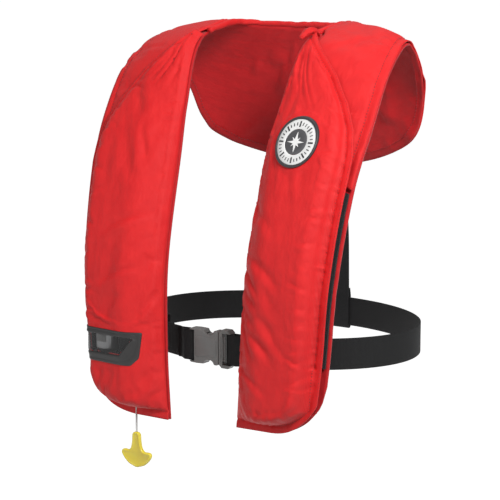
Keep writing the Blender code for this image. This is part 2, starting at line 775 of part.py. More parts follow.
def buckle_male():
    half = 0.0062
    start = BUCKLE_JOIN + TOUCH_GAP
    end = start + MALE_LENGTH
    corner = 0.004
    outline = [(start, -MALE_HALF + corner), (start + corner, -MALE_HALF), (end - corner, -MALE_HALF),
               (end, -MALE_HALF + corner), (end, MALE_HALF - corner), (end - corner, MALE_HALF),
               (start + corner, MALE_HALF), (start, MALE_HALF - corner)]
    outline = [(x, WAIST + z) for x, z in outline]
    body = add_object("buckle_male", prism(outline, BUCKLE_Y - half, BUCKLE_Y + half), "grey_acetal")
    bevel(body, 0.0014)
    tongue = box((-0.018, BUCKLE_Y - 0.0030, WAIST - 0.0042),
                 (start + 0.003, BUCKLE_Y + 0.0030, WAIST + 0.0042))
    join_to(body, add_object("tongue_addition", tongue, "grey_acetal"))
    bar_reliefs(body, MALE_BAR_X, end + 0.001, MALE_BAR_X - 0.0080, half)


def latch(name, side):
    """A sprung arm of the male half; its pad shows in the female half's notch."""
    outline = [(0.0022, -0.0022), (0.0022, 0.0014), (-0.0030, 0.0020), (-0.0060, 0.0036),
               (-0.0110, 0.0039), (-0.0150, 0.0034), (-0.0185, 0.0020), (-0.0215, 0.0006),
               (-0.0215, -0.0014), (-0.0120, -0.0020)]
    points = [(x, side * z) for x, z in outline]
    arm = prism(points, -0.0034, 0.0034)
    place = (LATCH_PIVOT_X, BUCKLE_Y, WAIST + side * LATCH_PIVOT_Z)
    made = add_object(name, arm, "grey_acetal", place)
    bevel(made, 0.0005, 1)


# ---------------------------------------------------------------- gas inflator
LEVER_PIVOT = (-0.1155, CYLINDER_Y, -0.3850)
LEVER_REST = radians(48)      # how far the lever points above level at rest
LEVER_REACH = 0.021


def cord_y():
    """Front-to-back place of the cord, just in front of the lobe's panel."""
    foot = base_point(0.0, (abs(CORD_X) - STATIONS[0][0][0]) / 0.107)
    return foot[1] - PANEL - TOUCH_GAP - 0.0026


def inflator():
    """The inflator body with a boss for the lever and a bore for the manifold stud."""
    middle_z = INFLATOR_TOP - INFLATOR_HEIGHT / 2
    block = turned([(0.0118, -INFLATOR_HEIGHT / 2), (0.0128, -INFLATOR_HEIGHT / 2 + 0.002),
                    (0.0128, 0.007), (0.0115, 0.010), (0.0115, INFLATOR_HEIGHT / 2)], 24)
    body = add_object("inflator_body", block, "black_plastic", (CYLINDER_X, CYLINDER_Y, middle_z))
    boss = box((CYLINDER_X + 0.004, LEVER_PIVOT[1] - 0.0050, LEVER_PIVOT[2] - 0.0050),
               (LEVER_PIVOT[0] + 0.0045, LEVER_PIVOT[1] + 0.0050, LEVER_PIVOT[2] + 0.0050))
    join_to(body, add_object("lever_boss_addition", boss, "black_plastic"))
    gap = box((LEVER_PIVOT[0] - 0.0050, LEVER_PIVOT[1] - 0.0024, LEVER_PIVOT[2] - 0.0060),
              (LEVER_PIVOT[0] + 0.0060, LEVER_PIVOT[1] + 0.0024, LEVER_PIVOT[2] + 0.0060))
    cut(body, add_object("lever_gap_cutter", gap, "black_plastic"))
    pin_hole = along_y(turned([(0.0013, -0.0060), (0.0013, 0.0060)], 12))
    cut(body, add_object("pin_hole_cutter", pin_hole, "black_plastic", LEVER_PIVOT))
    stud_hole = along_y(turned([(0.0053, -0.020), (0.0053, 0.020)], 16))
    cut(body, add_object("stud_hole_cutter", stud_hole, "black_plastic", (CYLINDER_X, CYLINDER_Y, middle_z)))


def along_y(bm):
    """Turns a solid from the Z axis to the Y axis, its top towards the front."""
    bm.transform(Matrix.Rotation(radians(90), 4, 'X'))
    return bm


def lever():
    """The lever that the cord pulls down; it swings on its pin beside the inflator."""
    hub = 0.0040
    thick = 0.0019
    outline = [(hub * cos(a), hub * sin(a)) for a in (pi / 4 + 1.5 * pi * k / 8 for k in range(9))]
    outline += [(LEVER_REACH, -0.0020), (LEVER_REACH + 0.003, 0.0), (LEVER_REACH, 0.0020)]
    turn = Matrix.Rotation(LEVER_REST, 2)
    points = [tuple(turn @ Vector(p)) for p in outline]
    made = add_object("inflator_lever", prism(points, -thick, thick), "yellow_plastic", LEVER_PIVOT)
    to_cord = cord_y() - CYLINDER_Y
    peg = along_y(turned([(0.0012, -to_cord), (0.0012, 0.0)], 10))
    tip = turn @ Vector((LEVER_REACH - 0.001, 0.0))
    tip_place = (LEVER_PIVOT[0] + tip.x, CYLINDER_Y, LEVER_PIVOT[2] + tip.y)
    join_to(made, add_object("cord_peg_addition", peg, "yellow_plastic", tip_place))
    bore = along_y(turned([(0.0013, -0.0060), (0.0013, 0.0060)], 12))
    cut(made, add_object("lever_bore_cutter", bore, "yellow_plastic", LEVER_PIVOT))
    pin = along_y(turned([(0.0010, -0.0048), (0.0010, 0.0048)], 12))
    add_object("lever_pin", pin, "pin_steel", LEVER_PIVOT)


def gas_cylinder():
    radius, length = CYLINDER_RADIUS, CYLINDER_LENGTH
    neck = [(0.0050, 0.0), (0.0050, 0.0012), (0.0100, 0.0022), (0.0135, 0.0045), (radius, 0.0075)]
    dome = [(radius, length - 0.012), (0.0138, length - 0.006), (0.0100, length - 0.002), (0.0040, length)]
    profile = neck + dome
    add_object("gas_cylinder", turned(profile, 28), "zinc_steel",
               (CYLINDER_X, CYLINDER_Y, INFLATOR_TOP + TOUCH_GAP))


def manifold():
    """The welded valve plate and stud that carry the inflator, its gasket and cap nut."""
    middle_z = INFLATOR_TOP - INFLATOR_HEIGHT / 2
    front_of_panel = -0.1652
    plate = [(0.015, 0.0), (0.015, 0.0010), (0.0050, 0.0010), (0.0050, 0.0302)]
    add_object("manifold_stud", along_y(turned(plate, 24)), "black_plastic",
               (CYLINDER_X, front_of_panel, middle_z))
    ring = [(0.0056, 0.0), (0.0082, 0.0), (0.0082, 0.0004), (0.0056, 0.0004)]
    add_object("stud_gasket", along_y(turned(ring, 24, closed=True)), "seal_rubber",
               (CYLINDER_X, front_of_panel - 0.0010 - TOUCH_GAP, middle_z))
    nut = [(0.0060, 0.0), (0.0088, 0.0), (0.0088, 0.0015), (0.0060, 0.0015)]
    add_object("cap_nut", along_y(turned(nut, 6, closed=True)), "pin_steel",
               (CYLINDER_X, CYLINDER_Y - 0.0137, middle_z))


# ---------------------------------------------------------------- oral inflation tube
def oral_tube():
    r = ORAL_TUBE_RADIUS
    top = ORAL_FOOT + ORAL_TUBE_LENGTH
    place = (ORAL_X, ORAL_Y, 0.0)
    foot = [(0.0125, -0.010), (0.0125, -0.0075), (0.0085, -0.0060), (0.0085, -TOUCH_GAP)]
    add_object("oral_flange", turned(foot, 24), "oral_red", (ORAL_X, ORAL_Y, ORAL_FOOT))
    wall = [(r - 0.0015, ORAL_FOOT), (r, ORAL_FOOT), (r, top), (r - 0.0015, top)]
    add_object("oral_tube", turned(wall, 20, closed=True), "oral_red", place)
    low = top + TOUCH_GAP
    valve = [(0.0040, low), (0.0085, low), (0.0085, low + 0.010), (0.0070, low + 0.012),
             (0.0070, low + 0.018), (0.0040, low + 0.018)]
    add_object("oral_valve_body", turned(valve, 20, closed=True), "black_plastic", place)
    stem = [(0.0022, low + 0.0070), (0.0022, low + 0.0165), (0.0036, low + 0.0172), (0.0036, low + 0.0200)]
    add_object("oral_valve_stem", turned(stem, 16), "black_plastic", place)
    cap_low = low + 0.0124
    cap = [(0.0074, cap_low), (0.0090, cap_low), (0.0090, cap_low + 0.0120), (0.0080, cap_low + 0.0135),
           (0.0020, cap_low + 0.0135), (0.0020, cap_low + 0.0115), (0.0074, cap_low + 0.0105)]
    add_object("oral_dust_cap", turned(cap, 20, closed=True), "oral_red", place)


# ---------------------------------------------------------------- pull cord and tab
def pull_cord_and_tab():
    top = LEVER_PIVOT[2] + LEVER_REACH * sin(LEVER_REST) - 0.009
    hem = STATIONS[0][0][2]
    tab_top = hem - VISIBLE_CORD
    y = cord_y()
    route = ((CORD_X, y, top), (CORD_X, y, top - 0.024), (CORD_X, y, hem + 0.006),
             (CORD_X, y, hem - 0.006), (CORD_X, y, tab_top + TOUCH_GAP))
    curve = bpy.data.curves.new("pull_cord", 'CURVE')
    curve.dimensions = '3D'
    curve.bevel_depth = CORD_RADIUS
    curve.bevel_resolution = 2
    curve.use_fill_caps = True
    curve.render_resolution_u = 0
    line = curve.splines.new('POLY')
    points = smooth_path(route, 31)
    line.points.add(len(points) - 1)
    for spot, point in zip(line.points, points):
        spot.co = (*point, 1.0)
    curve.materials.append(material("white_cord"))
    cord = bpy.data.objects.new("pull_cord", curve)
    bpy.context.collection.objects.link(cord)

    half = TAB_WIDTH / 2
    right = [(0.0030, 0.0), (0.0058, -0.0020), (0.0062, -0.0120), (0.0078, -0.0205), (0.0115, -0.0245),
             (0.0165, -0.0235), (half - 0.0015, -0.0240), (half, -0.0285), (half - 0.0045, -0.0350),
             (0.0120, -0.0410), (0.0, -TAB_HEIGHT)]
    outline = right + [(-x, z) for x, z in reversed(right[:-1])]
    tab = prism(outline, -TAB_THICK / 2, TAB_THICK / 2)
    made = add_object("pull_tab", tab, "yellow_plastic", (CORD_X, y, tab_top))
    bevel(made, 0.0012, 2)


# ---------------------------------------------------------------- the whole jacket
def main():
    clear_scene()
    body_panels()
    yoke_lining()
    yoke_cover()
    front_covers()
    closure_strips()
    bladder()
    neck_roll()
    status_window()
    badge()
    body_belt()
    front_strap("strap_right", -1, FEMALE_BAR_X)
    front_strap("strap_left", 1, MALE_BAR_X)
    keepers()
    back_strap()
    buckle_female()
    buckle_male()
    latch("latch_upper", 1)
    latch("latch_lower", -1)
    inflator()
    lever()
    gas_cylinder()
    manifold()
    oral_tube()
    pull_cord_and_tab()


main()
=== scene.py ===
"""Looks of the inflatable life jacket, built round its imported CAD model.

Metres, +Z up, +X the wearer's left, -Y the wearer's front, as in the CAD. The collar is one
long strip: s is the station along it, w runs from its inner edge to its outer edge, and h is
the height off the body. Fabric is laid out on that strip, creased, simulated and stitched.
"""
from math import cos, pi, radians, sin

import bmesh
import bpy
import numpy as np
from mathutils import Matrix, Vector


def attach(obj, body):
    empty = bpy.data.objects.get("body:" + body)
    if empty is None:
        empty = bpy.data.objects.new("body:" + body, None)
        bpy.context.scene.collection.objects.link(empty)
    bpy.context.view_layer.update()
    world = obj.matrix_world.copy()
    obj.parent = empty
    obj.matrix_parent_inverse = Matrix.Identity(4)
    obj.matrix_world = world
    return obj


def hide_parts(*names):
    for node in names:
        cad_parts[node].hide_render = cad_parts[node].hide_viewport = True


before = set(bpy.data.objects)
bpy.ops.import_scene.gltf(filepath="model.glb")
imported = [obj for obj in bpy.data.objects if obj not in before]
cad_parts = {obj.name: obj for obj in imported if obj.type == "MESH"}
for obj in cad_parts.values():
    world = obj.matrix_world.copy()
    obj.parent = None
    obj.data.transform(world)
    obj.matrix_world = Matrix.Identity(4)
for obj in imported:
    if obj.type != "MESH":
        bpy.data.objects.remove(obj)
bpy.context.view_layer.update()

JACKET = "jacket"
INSERT_HALF = "insert_half"
PULL_HANDLE = "pull_handle"

# ---------------------------------------------------------------- driving dimensions, as in the CAD
LAYER_GAP = 0.0012
SHEET = 0.002
PANEL = 0.003
HEM = 0.010
MOUTH = 0.011
LOBE_DEPTH = 0.041
LOBE_CORNER = 0.060
CORNER_START = 0.42
ROLL_RADIUS = 0.0040
LEFT_LIFT = 0.006              # the wearer's left lobe ends this much higher
TUCKED = 0.0028                # the yoke's layers are sewn in under the rolled edge
WEBBING_WIDTH = 0.0374
WEBBING_THICK = 0.0016
WAIST = -0.363
BELT_A = 0.1826
BELT_B = 0.1374
BUCKLE_Y = -0.139
CORD_X = -0.098
CORD_RADIUS = 0.0012
VISIBLE_CORD = 0.022
TAB_WIDTH = 0.046
TAB_HEIGHT = 0.045
TAB_THICK = 0.005

STATIONS = (
    ((0.049, -0.164, -0.452), (0.158, -0.162, -0.452), 0.000),   # foot of the lobe
    ((0.054, -0.163, -0.365), (0.168, -0.158, -0.363), 0.000),   # waist
    ((0.058, -0.155, -0.262), (0.177, -0.157, -0.268), 0.000),   # lower chest
    ((0.062, -0.122, -0.137), (0.184, -0.134, -0.165), 0.002),   # upper chest
    ((0.067, -0.102, -0.080), (0.189, -0.101, -0.095), 0.003),   # collarbone
    ((0.0745, -0.067, -0.012), (0.186, -0.060, -0.038), 0.003),  # front of the shoulder
    ((0.079, -0.006, 0.008), (0.177, 0.000, -0.010), 0.002),     # top of the shoulder
    ((0.072, 0.034, 0.011), (0.172, 0.041, -0.068), 0.005),      # back of the shoulder
    ((0.042, 0.047, 0.011), (0.137, 0.062, -0.134), 0.008),      # side of the nape
    ((0.000, 0.050, 0.010), (0.000, 0.104, -0.168), 0.010),      # nape
)
NAPE = len(STATIONS) - 1
COLLAR_END = 2 * NAPE
FOOT_RISE = STATIONS[1][0][2] - STATIONS[0][0][2]
FLAP_TIP = 5.25
ROLL_START = 5.45
YOKE_START = 3.0
PANEL_END = 6.0
SEAM = 0.02


# ---------------------------------------------------------------- the collar's shape
def station_values():
    half = [list(inner) + list(outer) + [arch] for inner, outer, arch in STATIONS]
    other = [[-a, b, c, -d, e, f, g] for a, b, c, d, e, f, g in reversed(half[:-1])]
    rows = half + other
    first = [2 * a - b for a, b in zip(rows[0], rows[1])]
    last = [2 * a - b for a, b in zip(rows[-1], rows[-2])]
    return np.array([first] + rows + [last])


COLLAR = station_values()


def collar_row(s):
    """The strip's inner x y z, outer x y z and arch at each station of an array."""
    place = np.clip(s, 0.0, COLLAR_END - 1e-9)
    i = place.astype(int)
    t = (place - i)[..., None]
    a, b, c, d = (COLLAR[i + k] for k in range(4))
    return 0.5 * (2 * b + (c - a) * t + (2 * a - 5 * b + 4 * c - d) * t ** 2
                  + (3 * b - a - 3 * c + d) * t ** 3)


def base_point(s, w):
    row = collar_row(s)
    return row[..., 0:3] * (1 - w)[..., None] + row[..., 3:6] * w[..., None]


def outward(s, w):
    step = 0.02
    along = base_point(s + step, w) - base_point(s - step, w)
    row = collar_row(s)
    normal = np.cross(row[..., 3:6] - row[..., 0:3], along)
    return normal / np.linalg.norm(normal, axis=-1, keepdims=True)


def collar_point(s, w, h):
    arch = collar_row(s)[..., 6] * np.sin(pi * np.clip(w, 0.0, 1.0))
    return base_point(s, w) + outward(s, w) * (h + arch)[..., None]


def strip_width(s):
    row = collar_row(s)
    return np.linalg.norm(row[..., 3:6] - row[..., 0:3], axis=-1)


def lobe_station(s):
    return np.minimum(s, COLLAR_END - s)


def foot_station(w, lift=0.0):
    """Station where the lobe ends at each width; lift moves the whole foot up, in metres."""
    t = np.clip((w - CORNER_START) / (1 - CORNER_START), 0.0, 1.0)
    return (LOBE_CORNER * (1 - np.sqrt(1 - t * t)) + lift) / FOOT_RISE


def foot_distance(s, w):
    u = lobe_station(s)
    lift = np.where(s < NAPE, LEFT_LIFT, 0.0)
    rise = base_point(u, w)[..., 2] - base_point(foot_station(w, lift), w)[..., 2]
    return np.maximum(rise, 0.0)


def ramp(value, start, end):
    t = np.clip((value - start) / (end - start), 0.0, 1.0)
    return t * t * (3 - 2 * t)


def round_over(distance, radius):
    t = np.clip(distance / radius, 0.0, 1.0)
    return np.sqrt(1 - (1 - t) ** 2)


def swell(distance, radius):
    return np.sin(pi / 2 * np.clip(distance / radius, 0.0, 1.0))


def through(pairs, value):
    return np.interp(value, [a for a, _ in pairs], [b for _, b in pairs])


def run_length(points):
    """Distance along a line of points from its first to each of them."""
    return np.concatenate([[0.0], np.cumsum(np.linalg.norm(np.diff(points, axis=0), axis=1))])


FLAP_EDGE = ((0.0, 0.97), (3.1, 0.97), (3.4, 0.95), (3.8, 0.875), (4.2, 0.74), (4.6, 0.535),
             (5.0, 0.21), (5.25, 0.06))
DEPTH_SHARE = ((0.0, 1.0), (2.3, 1.0), (3.0, 0.84), (4.0, 0.60), (5.0, 0.44), (5.25, 0.40))
INNER_ROUND = 0.045
OUTER_ROUND = 0.016
FOOT_ROUND = 0.028


def flap_edge(s):
    return through(FLAP_EDGE, lobe_station(s))


def cover_height(s, w):
    """Height of the cover's outside off the body."""
    u = lobe_station(s)
    width = strip_width(s)
    out_edge = (flap_edge(s) - w) * width - HEM
    foot = foot_distance(s, w) - HEM
    closed_edge = PANEL + LAYER_GAP + SHEET
    open_edge = MOUTH + SHEET
    opening = ramp(w * width, 0.0, 0.008) * np.maximum(ramp(u, 0.35, 0.9), ramp(w, 0.45, 0.8))
    edge = closed_edge + (open_edge - closed_edge) * opening
    rise = swell(w * width, INNER_ROUND) * round_over(out_edge, OUTER_ROUND)
    rise = rise * round_over(foot, FOOT_ROUND)
    depth = LOBE_DEPTH * through(DEPTH_SHARE, u)
    return np.maximum(edge + (depth - edge) * rise, PANEL + LAYER_GAP)


def yoke_margin(s):
    under_flap = 0.012
    return under_flap + (TUCKED - under_flap) * ramp(lobe_station(s), 5.3, 5.6)


def roll_margin(s):
    return TUCKED * ramp(lobe_station(s), 5.0, 5.3)


def yoke_height(s, w):
    width = strip_width(s)
    bulge = 0.0035 + 0.0035 * ramp(lobe_station(s), 5.3, 6.2)
    rise = round_over(w * width - yoke_margin(s), 0.030) * round_over((1 - w) * width - HEM, 0.030)
    return PANEL + LAYER_GAP + bulge * rise


TRAVEL_S = np.linspace(0.0, COLLAR_END, 721)
CENTRE_LINE = base_point(TRAVEL_S, np.full_like(TRAVEL_S, 0.45))
TRAVEL = run_length(CENTRE_LINE)


def travel(s):
    """Distance along the strip from the foot of the left lobe, in metres."""
    return np.interp(s, TRAVEL_S, TRAVEL)


def station_at(distance):
    return np.interp(distance, TRAVEL, TRAVEL_S)


# ---------------------------------------------------------------- materials
def new_material(name, colour, roughness, metallic=0.0):
    made = bpy.data.materials.new(name)
    made.use_nodes = True
    shader = made.node_tree.nodes["Principled BSDF"]
    shader.inputs["Base Color"].default_value = (*colour, 1.0)
    shader.inputs["Roughness"].default_value = roughness
    shader.inputs["Metallic"].default_value = metallic
    return made, made.node_tree, shader


def node(tree, kind, **settings):
    made = tree.nodes.new(kind)
    for key, value in settings.items():
        if key in made.inputs:
            made.inputs[key].default_value = value
        else:
            setattr(made, key, value)
    return made


def object_place(tree):
    return node(tree, "ShaderNodeTexCoord").outputs["Object"]


def cut_place(tree):
    """Coordinates on the flat cloth, in metres."""
    return node(tree, "ShaderNodeUVMap", uv_map="cut").outputs[0]


def math_node(tree, operation, one, two):
    made = tree.nodes.new("ShaderNodeMath")
    made.operation = operation
    for socket, value in zip(made.inputs, (one, two)):
        if isinstance(value, (int, float)):
            socket.default_value = value
        else:
            tree.links.new(value, socket)
    return made.outputs[0]


def noise(tree, coordinates, scale, detail=3.0):
    made = node(tree, "ShaderNodeTexNoise")
    made.inputs["Scale"].default_value = scale
    made.inputs["Detail"].default_value = detail
    tree.links.new(coordinates, made.inputs["Vector"])
    return made.outputs[0]


def bands(tree, coordinates, direction, pitch):
    """A sine wave that repeats every pitch metres along one coordinate."""
    made = node(tree, "ShaderNodeTexWave")
    made.bands_direction = direction
    made.inputs["Scale"].default_value = 2 * pi / (20 * pitch)
    tree.links.new(coordinates, made.inputs["Vector"])
    return made.outputs["Fac"]


def shade_between(tree, factor, dark, light, target):
    blend = node(tree, "ShaderNodeMix", data_type='RGBA')
    colour_in = [socket for socket in blend.inputs if socket.type == 'RGBA']
    colour_in[0].default_value = (*dark, 1.0)
    colour_in[1].default_value = (*light, 1.0)
    tree.links.new(factor, blend.inputs[0])
    out = [socket for socket in blend.outputs if socket.type == 'RGBA'][0]
    tree.links.new(out, target)


def roughness_between(tree, factor, low, high, shader):
    spread = node(tree, "ShaderNodeMapRange")
    spread.inputs["To Min"].default_value = low
    spread.inputs["To Max"].default_value = high
    tree.links.new(factor, spread.inputs["Value"])
    tree.links.new(spread.outputs[0], shader.inputs["Roughness"])


def bump(tree, height, distance, shader, under=None, strength=1.0):
    made = node(tree, "ShaderNodeBump")
    made.inputs["Distance"].default_value = distance
    made.inputs["Strength"].default_value = strength
    tree.links.new(height, made.inputs["Height"])
    if under is not None:
        tree.links.new(under, made.inputs["Normal"])
    tree.links.new(made.outputs[0], shader.inputs["Normal"])
    return made.outputs[0]


def woven(name, light, dark, pitch, roughness, weave_depth, sheen):
    """Plain-woven cloth: threads both ways on the UV map, which is in metres."""
    made, tree, shader = new_material(name, light, roughness)
    uv = cut_place(tree)
    place = object_place(tree)
    warp = bands(tree, uv, 'X', pitch)
    weft = bands(tree, uv, 'Y', pitch)
    weave = math_node(tree, 'MULTIPLY', warp, weft)
    mottle = noise(tree, place, 60.0, 6.0)
    # Painted shade: the weave's valleys are darker; the mottle is the cloth's own uneven tone.
    tone = math_node(tree, 'ADD', math_node(tree, 'MULTIPLY', weave, 0.35),
                     math_node(tree, 'MULTIPLY', mottle, 0.85))
    shade_between(tree, tone, dark, light, shader.inputs["Base Color"])
    roughness_between(tree, mottle, roughness - 0.10, roughness + 0.12, shader)
    drawn = node(tree, "ShaderNodeMapping")
    drawn.inputs["Scale"].default_value = (70.0, 26.0, 1.0)
    drawn.inputs["Rotation"].default_value = (0.0, 0.0, radians(24))
    tree.links.new(uv, drawn.inputs["Vector"])
    folds = bump(tree, noise(tree, drawn.outputs[0], 1.0, 2.5), 0.0034, shader, strength=0.55)
    rumple = bump(tree, noise(tree, place, 150.0, 4.0), 0.0007, shader, under=folds, strength=0.5)
    bump(tree, weave, weave_depth, shader, under=rumple)
    shader.inputs["Sheen Weight"].default_value = sheen
    shader.inputs["Sheen Roughness"].default_value = 0.4
    shader.inputs["Specular IOR Level"].default_value = 0.22
    return made


def webbing_material():
    """Ribbed polyester webbing: ribs across it, and fine threads along it."""
    made, tree, shader = new_material("black_webbing_weave", (0.007, 0.0073, 0.0078), 0.72)
    uv = cut_place(tree)
    ribs = bands(tree, uv, 'X', 0.0017)
    threads = bands(tree, uv, 'Y', 0.0011)
    weave = math_node(tree, 'MULTIPLY', math_node(tree, 'ADD', ribs, 0.35), threads)
    shade_between(tree, weave, (0.0025, 0.0026, 0.0030), (0.0120, 0.0125, 0.0135),
                  shader.inputs["Base Color"])
    roughness_between(tree, threads, 0.60, 0.80, shader)
    bump(tree, weave, 0.0005, shader)
    shader.inputs["Specular IOR Level"].default_value = 0.30
    return made


def moulded(name, colour, roughness, grain=900.0, depth=0.00005, spread=0.22):
    """Moulded plastic: fine grain, slight mottling and paler rubbed edges."""
    made, tree, shader = new_material(name, colour, roughness)
    place = object_place(tree)
    mottle = noise(tree, place, 90.0, 5.0)
    worn = node(tree, "ShaderNodeNewGeometry").outputs["Pointiness"]
    wear = node(tree, "ShaderNodeMapRange")
    wear.inputs["From Min"].default_value = 0.50
    wear.inputs["From Max"].default_value = 0.62
    tree.links.new(worn, wear.inputs["Value"])
    tone = math_node(tree, 'ADD', math_node(tree, 'MULTIPLY', mottle, 0.7), wear.outputs[0])
    dark = tuple(c * (1 - spread) for c in colour)
    light = tuple(min(c * (1 + spread) + 0.01, 1.0) for c in colour)
    shade_between(tree, tone, dark, light, shader.inputs["Base Color"])
    roughness_between(tree, mottle, roughness - 0.06, roughness + 0.10, shader)
    bump(tree, noise(tree, place, grain, 2.0), depth, shader)
    return made


def metal(name, colour, roughness):
    """Plated or brushed metal with fine scratches round it."""
    made, tree, shader = new_material(name, colour, roughness, 1.0)
    place = object_place(tree)
    stretch = node(tree, "ShaderNodeMapping")
    stretch.inputs["Scale"].default_value = (40.0, 40.0, 900.0)
    tree.links.new(place, stretch.inputs["Vector"])
    scratches = noise(tree, stretch.outputs[0], 1.0, 3.0)
    cloud = noise(tree, place, 120.0, 4.0)
    dark = tuple(c * 0.8 for c in colour)
    shade_between(tree, cloud, dark, colour, shader.inputs["Base Color"])
    roughness_between(tree, scratches, roughness - 0.08, roughness + 0.14, shader)
    bump(tree, scratches, 0.00004, shader)
    return made


def hook_tape_material():
    made, tree, shader = new_material("hook_tape_loops", (0.012, 0.012, 0.013), 0.85)
    place = object_place(tree)
    hooks = node(tree, "ShaderNodeTexVoronoi")
    hooks.inputs["Scale"].default_value = 900.0
    tree.links.new(place, hooks.inputs["Vector"])
    shade_between(tree, hooks.outputs["Distance"], (0.03, 0.03, 0.032), (0.005, 0.005, 0.006),
                  shader.inputs["Base Color"])
    bump(tree, hooks.outputs["Distance"], 0.0008, shader)
    return made


def braid_material():
    made, tree, shader = new_material("white_cord_braid", (0.80, 0.80, 0.78), 0.75)
    place = object_place(tree)
    strands = node(tree, "ShaderNodeTexWave")
    strands.bands_direction = 'DIAGONAL'
    strands.inputs["Scale"].default_value = 2 * pi / (20 * 0.0011)
    tree.links.new(place, strands.inputs["Vector"])
    shade_between(tree, strands.outputs["Fac"], (0.55, 0.55, 0.53), (0.86, 0.86, 0.85),
                  shader.inputs["Base Color"])
    bump(tree, strands.outputs["Fac"], 0.0004, shader)
    return made


def lens_material():
    # Painted shade: the near-black colour at half opacity darkens the view into the lobe.
    made, tree, shader = new_material("window_vinyl", (0.012, 0.012, 0.013), 0.12)
    place = object_place(tree)
    haze = noise(tree, place, 45.0, 5.0)
    roughness_between(tree, haze, 0.05, 0.26, shader)
    bump(tree, noise(tree, place, 25.0, 1.0), 0.0008, shader, strength=0.4)
    shader.inputs["Alpha"].default_value = 0.50
    shader.inputs["Specular IOR Level"].default_value = 0.7
    return made


def tab_material():
    made, tree, shader = new_material("yellow_tab_plastic", (0.86, 0.70, 0.05), 0.32)
    place = object_place(tree)
    cloud = noise(tree, place, 70.0, 4.0)
    shade_between(tree, cloud, (0.80, 0.60, 0.03), (0.90, 0.78, 0.10), shader.inputs["Base Color"])
    roughness_between(tree, cloud, 0.24, 0.42, shader)
    bump(tree, noise(tree, place, 500.0, 2.0), 0.00005, shader)
    shader.inputs["Subsurface Weight"].default_value = 0.35
    shader.inputs["Subsurface Scale"].default_value = 0.006
    shader.inputs["Subsurface Radius"].default_value = (1.0, 0.8, 0.25)
    return made


RED = woven("red_nylon", (0.80, 0.022, 0.022), (0.62, 0.008, 0.012), 0.0009, 0.54, 0.00016, 0.04)
# The same red nylon, made darker: painted shade for the jacket's inside and body side.
SHADED_RED = woven("red_nylon_painted_shade", (0.66, 0.016, 0.020), (0.46, 0.007, 0.011), 0.0007, 0.60, 0.00010, 0.08)
# Near-black cloth: the covers' inside face, and painted shade on the sheet behind the window.
BLACK_INSIDE_AND_SHADE = woven("black_cover_inside_and_painted_shade", (0.010, 0.010, 0.011), (0.006, 0.006, 0.007), 0.0007, 0.60, 0.00006, 0.0)
BLADDER = woven("yellow_bladder_cloth", (0.80, 0.60, 0.03), (0.62, 0.44, 0.02), 0.0006, 0.42, 0.00008, 0.1)
THREAD = moulded("red_thread", (0.30, 0.006, 0.010), 0.60)
BLACK_THREAD = moulded("black_thread", (0.030, 0.030, 0.032), 0.55)
WEBBING = webbing_material()
HOOKS = hook_tape_material()
BUCKLE = moulded("grey_acetal_moulding", (0.130, 0.130, 0.126), 0.36, 700.0, 0.00006)
BLACK = moulded("black_nylon_moulding", (0.016, 0.015, 0.015), 0.48, 1100.0, 0.00006)
WINDOW_BLACK = moulded("window_frame_moulding", (0.013, 0.012, 0.012), 0.52, 500.0, 0.00010)
BADGE_BLACK = moulded("badge_rubber_moulding", (0.022, 0.022, 0.024), 0.50, 800.0, 0.00005)
BADGE_GREY = moulded("badge_centre_rubber", (0.060, 0.060, 0.064), 0.50, 800.0, 0.00005)
BADGE_WHITE = moulded("badge_pale_rubber", (0.72, 0.72, 0.71), 0.48, 800.0, 0.00005, 0.06)
ORAL_RED = moulded("oral_tube_red", (0.55, 0.020, 0.022), 0.34)
RUBBER = moulded("seal_rubber_black", (0.022, 0.022, 0.022), 0.70)
STEEL = metal("pin_stainless", (0.66, 0.66, 0.66), 0.26)
ZINC = metal("zinc_plate", (0.60, 0.61, 0.62), 0.30)
LABEL = moulded("cylinder_label", (0.50, 0.50, 0.49), 0.40, spread=0.08)
LENS = lens_material()
TAB = tab_material()
BRAID = braid_material()


def paint(obj, material):
    obj.data.materials.clear()
    obj.data.materials.append(material)


# ---------------------------------------------------------------- mesh helpers
def settle(made, body=JACKET, stands_for=None):
    """Gives a finished piece its body, and hides the CAD node it stands for."""
    if stands_for is not None:
        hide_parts(stands_for)
    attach(made, body)


def face_outward(made):
    edit = bmesh.new()
    edit.from_mesh(made.data)
    bmesh.ops.recalc_face_normals(edit, faces=edit.faces)
    edit.to_mesh(made.data)
    edit.free()


def outline_normals(points):
    """Unit normals of a closed flat outline, pointing out of it."""
    ahead = np.roll(points, -1, axis=0) - np.roll(points, 1, axis=0)
    normal = np.stack([ahead[:, 1], -ahead[:, 0]], axis=1)
    normal /= np.linalg.norm(normal, axis=1, keepdims=True)
    outwards = ((points - points.mean(axis=0)) * normal).sum() >= 0
    return normal if outwards else -normal


def mesh_object(name, vertices, faces, material, uvs=None, smooth=True):
    mesh = bpy.data.meshes.new(name)
    mesh.from_pydata([tuple(map(float, v)) for v in vertices], [], faces)
    if uvs is not None:
        layer = mesh.uv_layers.new(name="cut")
        places = np.empty(len(mesh.loops), dtype=np.int32)
        mesh.loops.foreach_get("vertex_index", places)
        layer.data.foreach_set("uv", np.asarray(uvs, float)[places].astype(np.float32).ravel())
    mesh.materials.append(material)
    if smooth:
        mesh.shade_smooth()
    mesh.update()
    made = bpy.data.objects.new(name, mesh)
    bpy.context.scene.collection.objects.link(made)
    return made


def grid_faces(rows, columns, start=0, flip=False):
    i, j = np.meshgrid(np.arange(rows - 1), np.arange(columns - 1), indexing="ij")
    a = (start + i * columns + j).ravel()
    quads = np.stack([a, a + columns, a + columns + 1, a + 1], axis=1)
    return (quads[:, ::-1] if flip else quads).tolist()


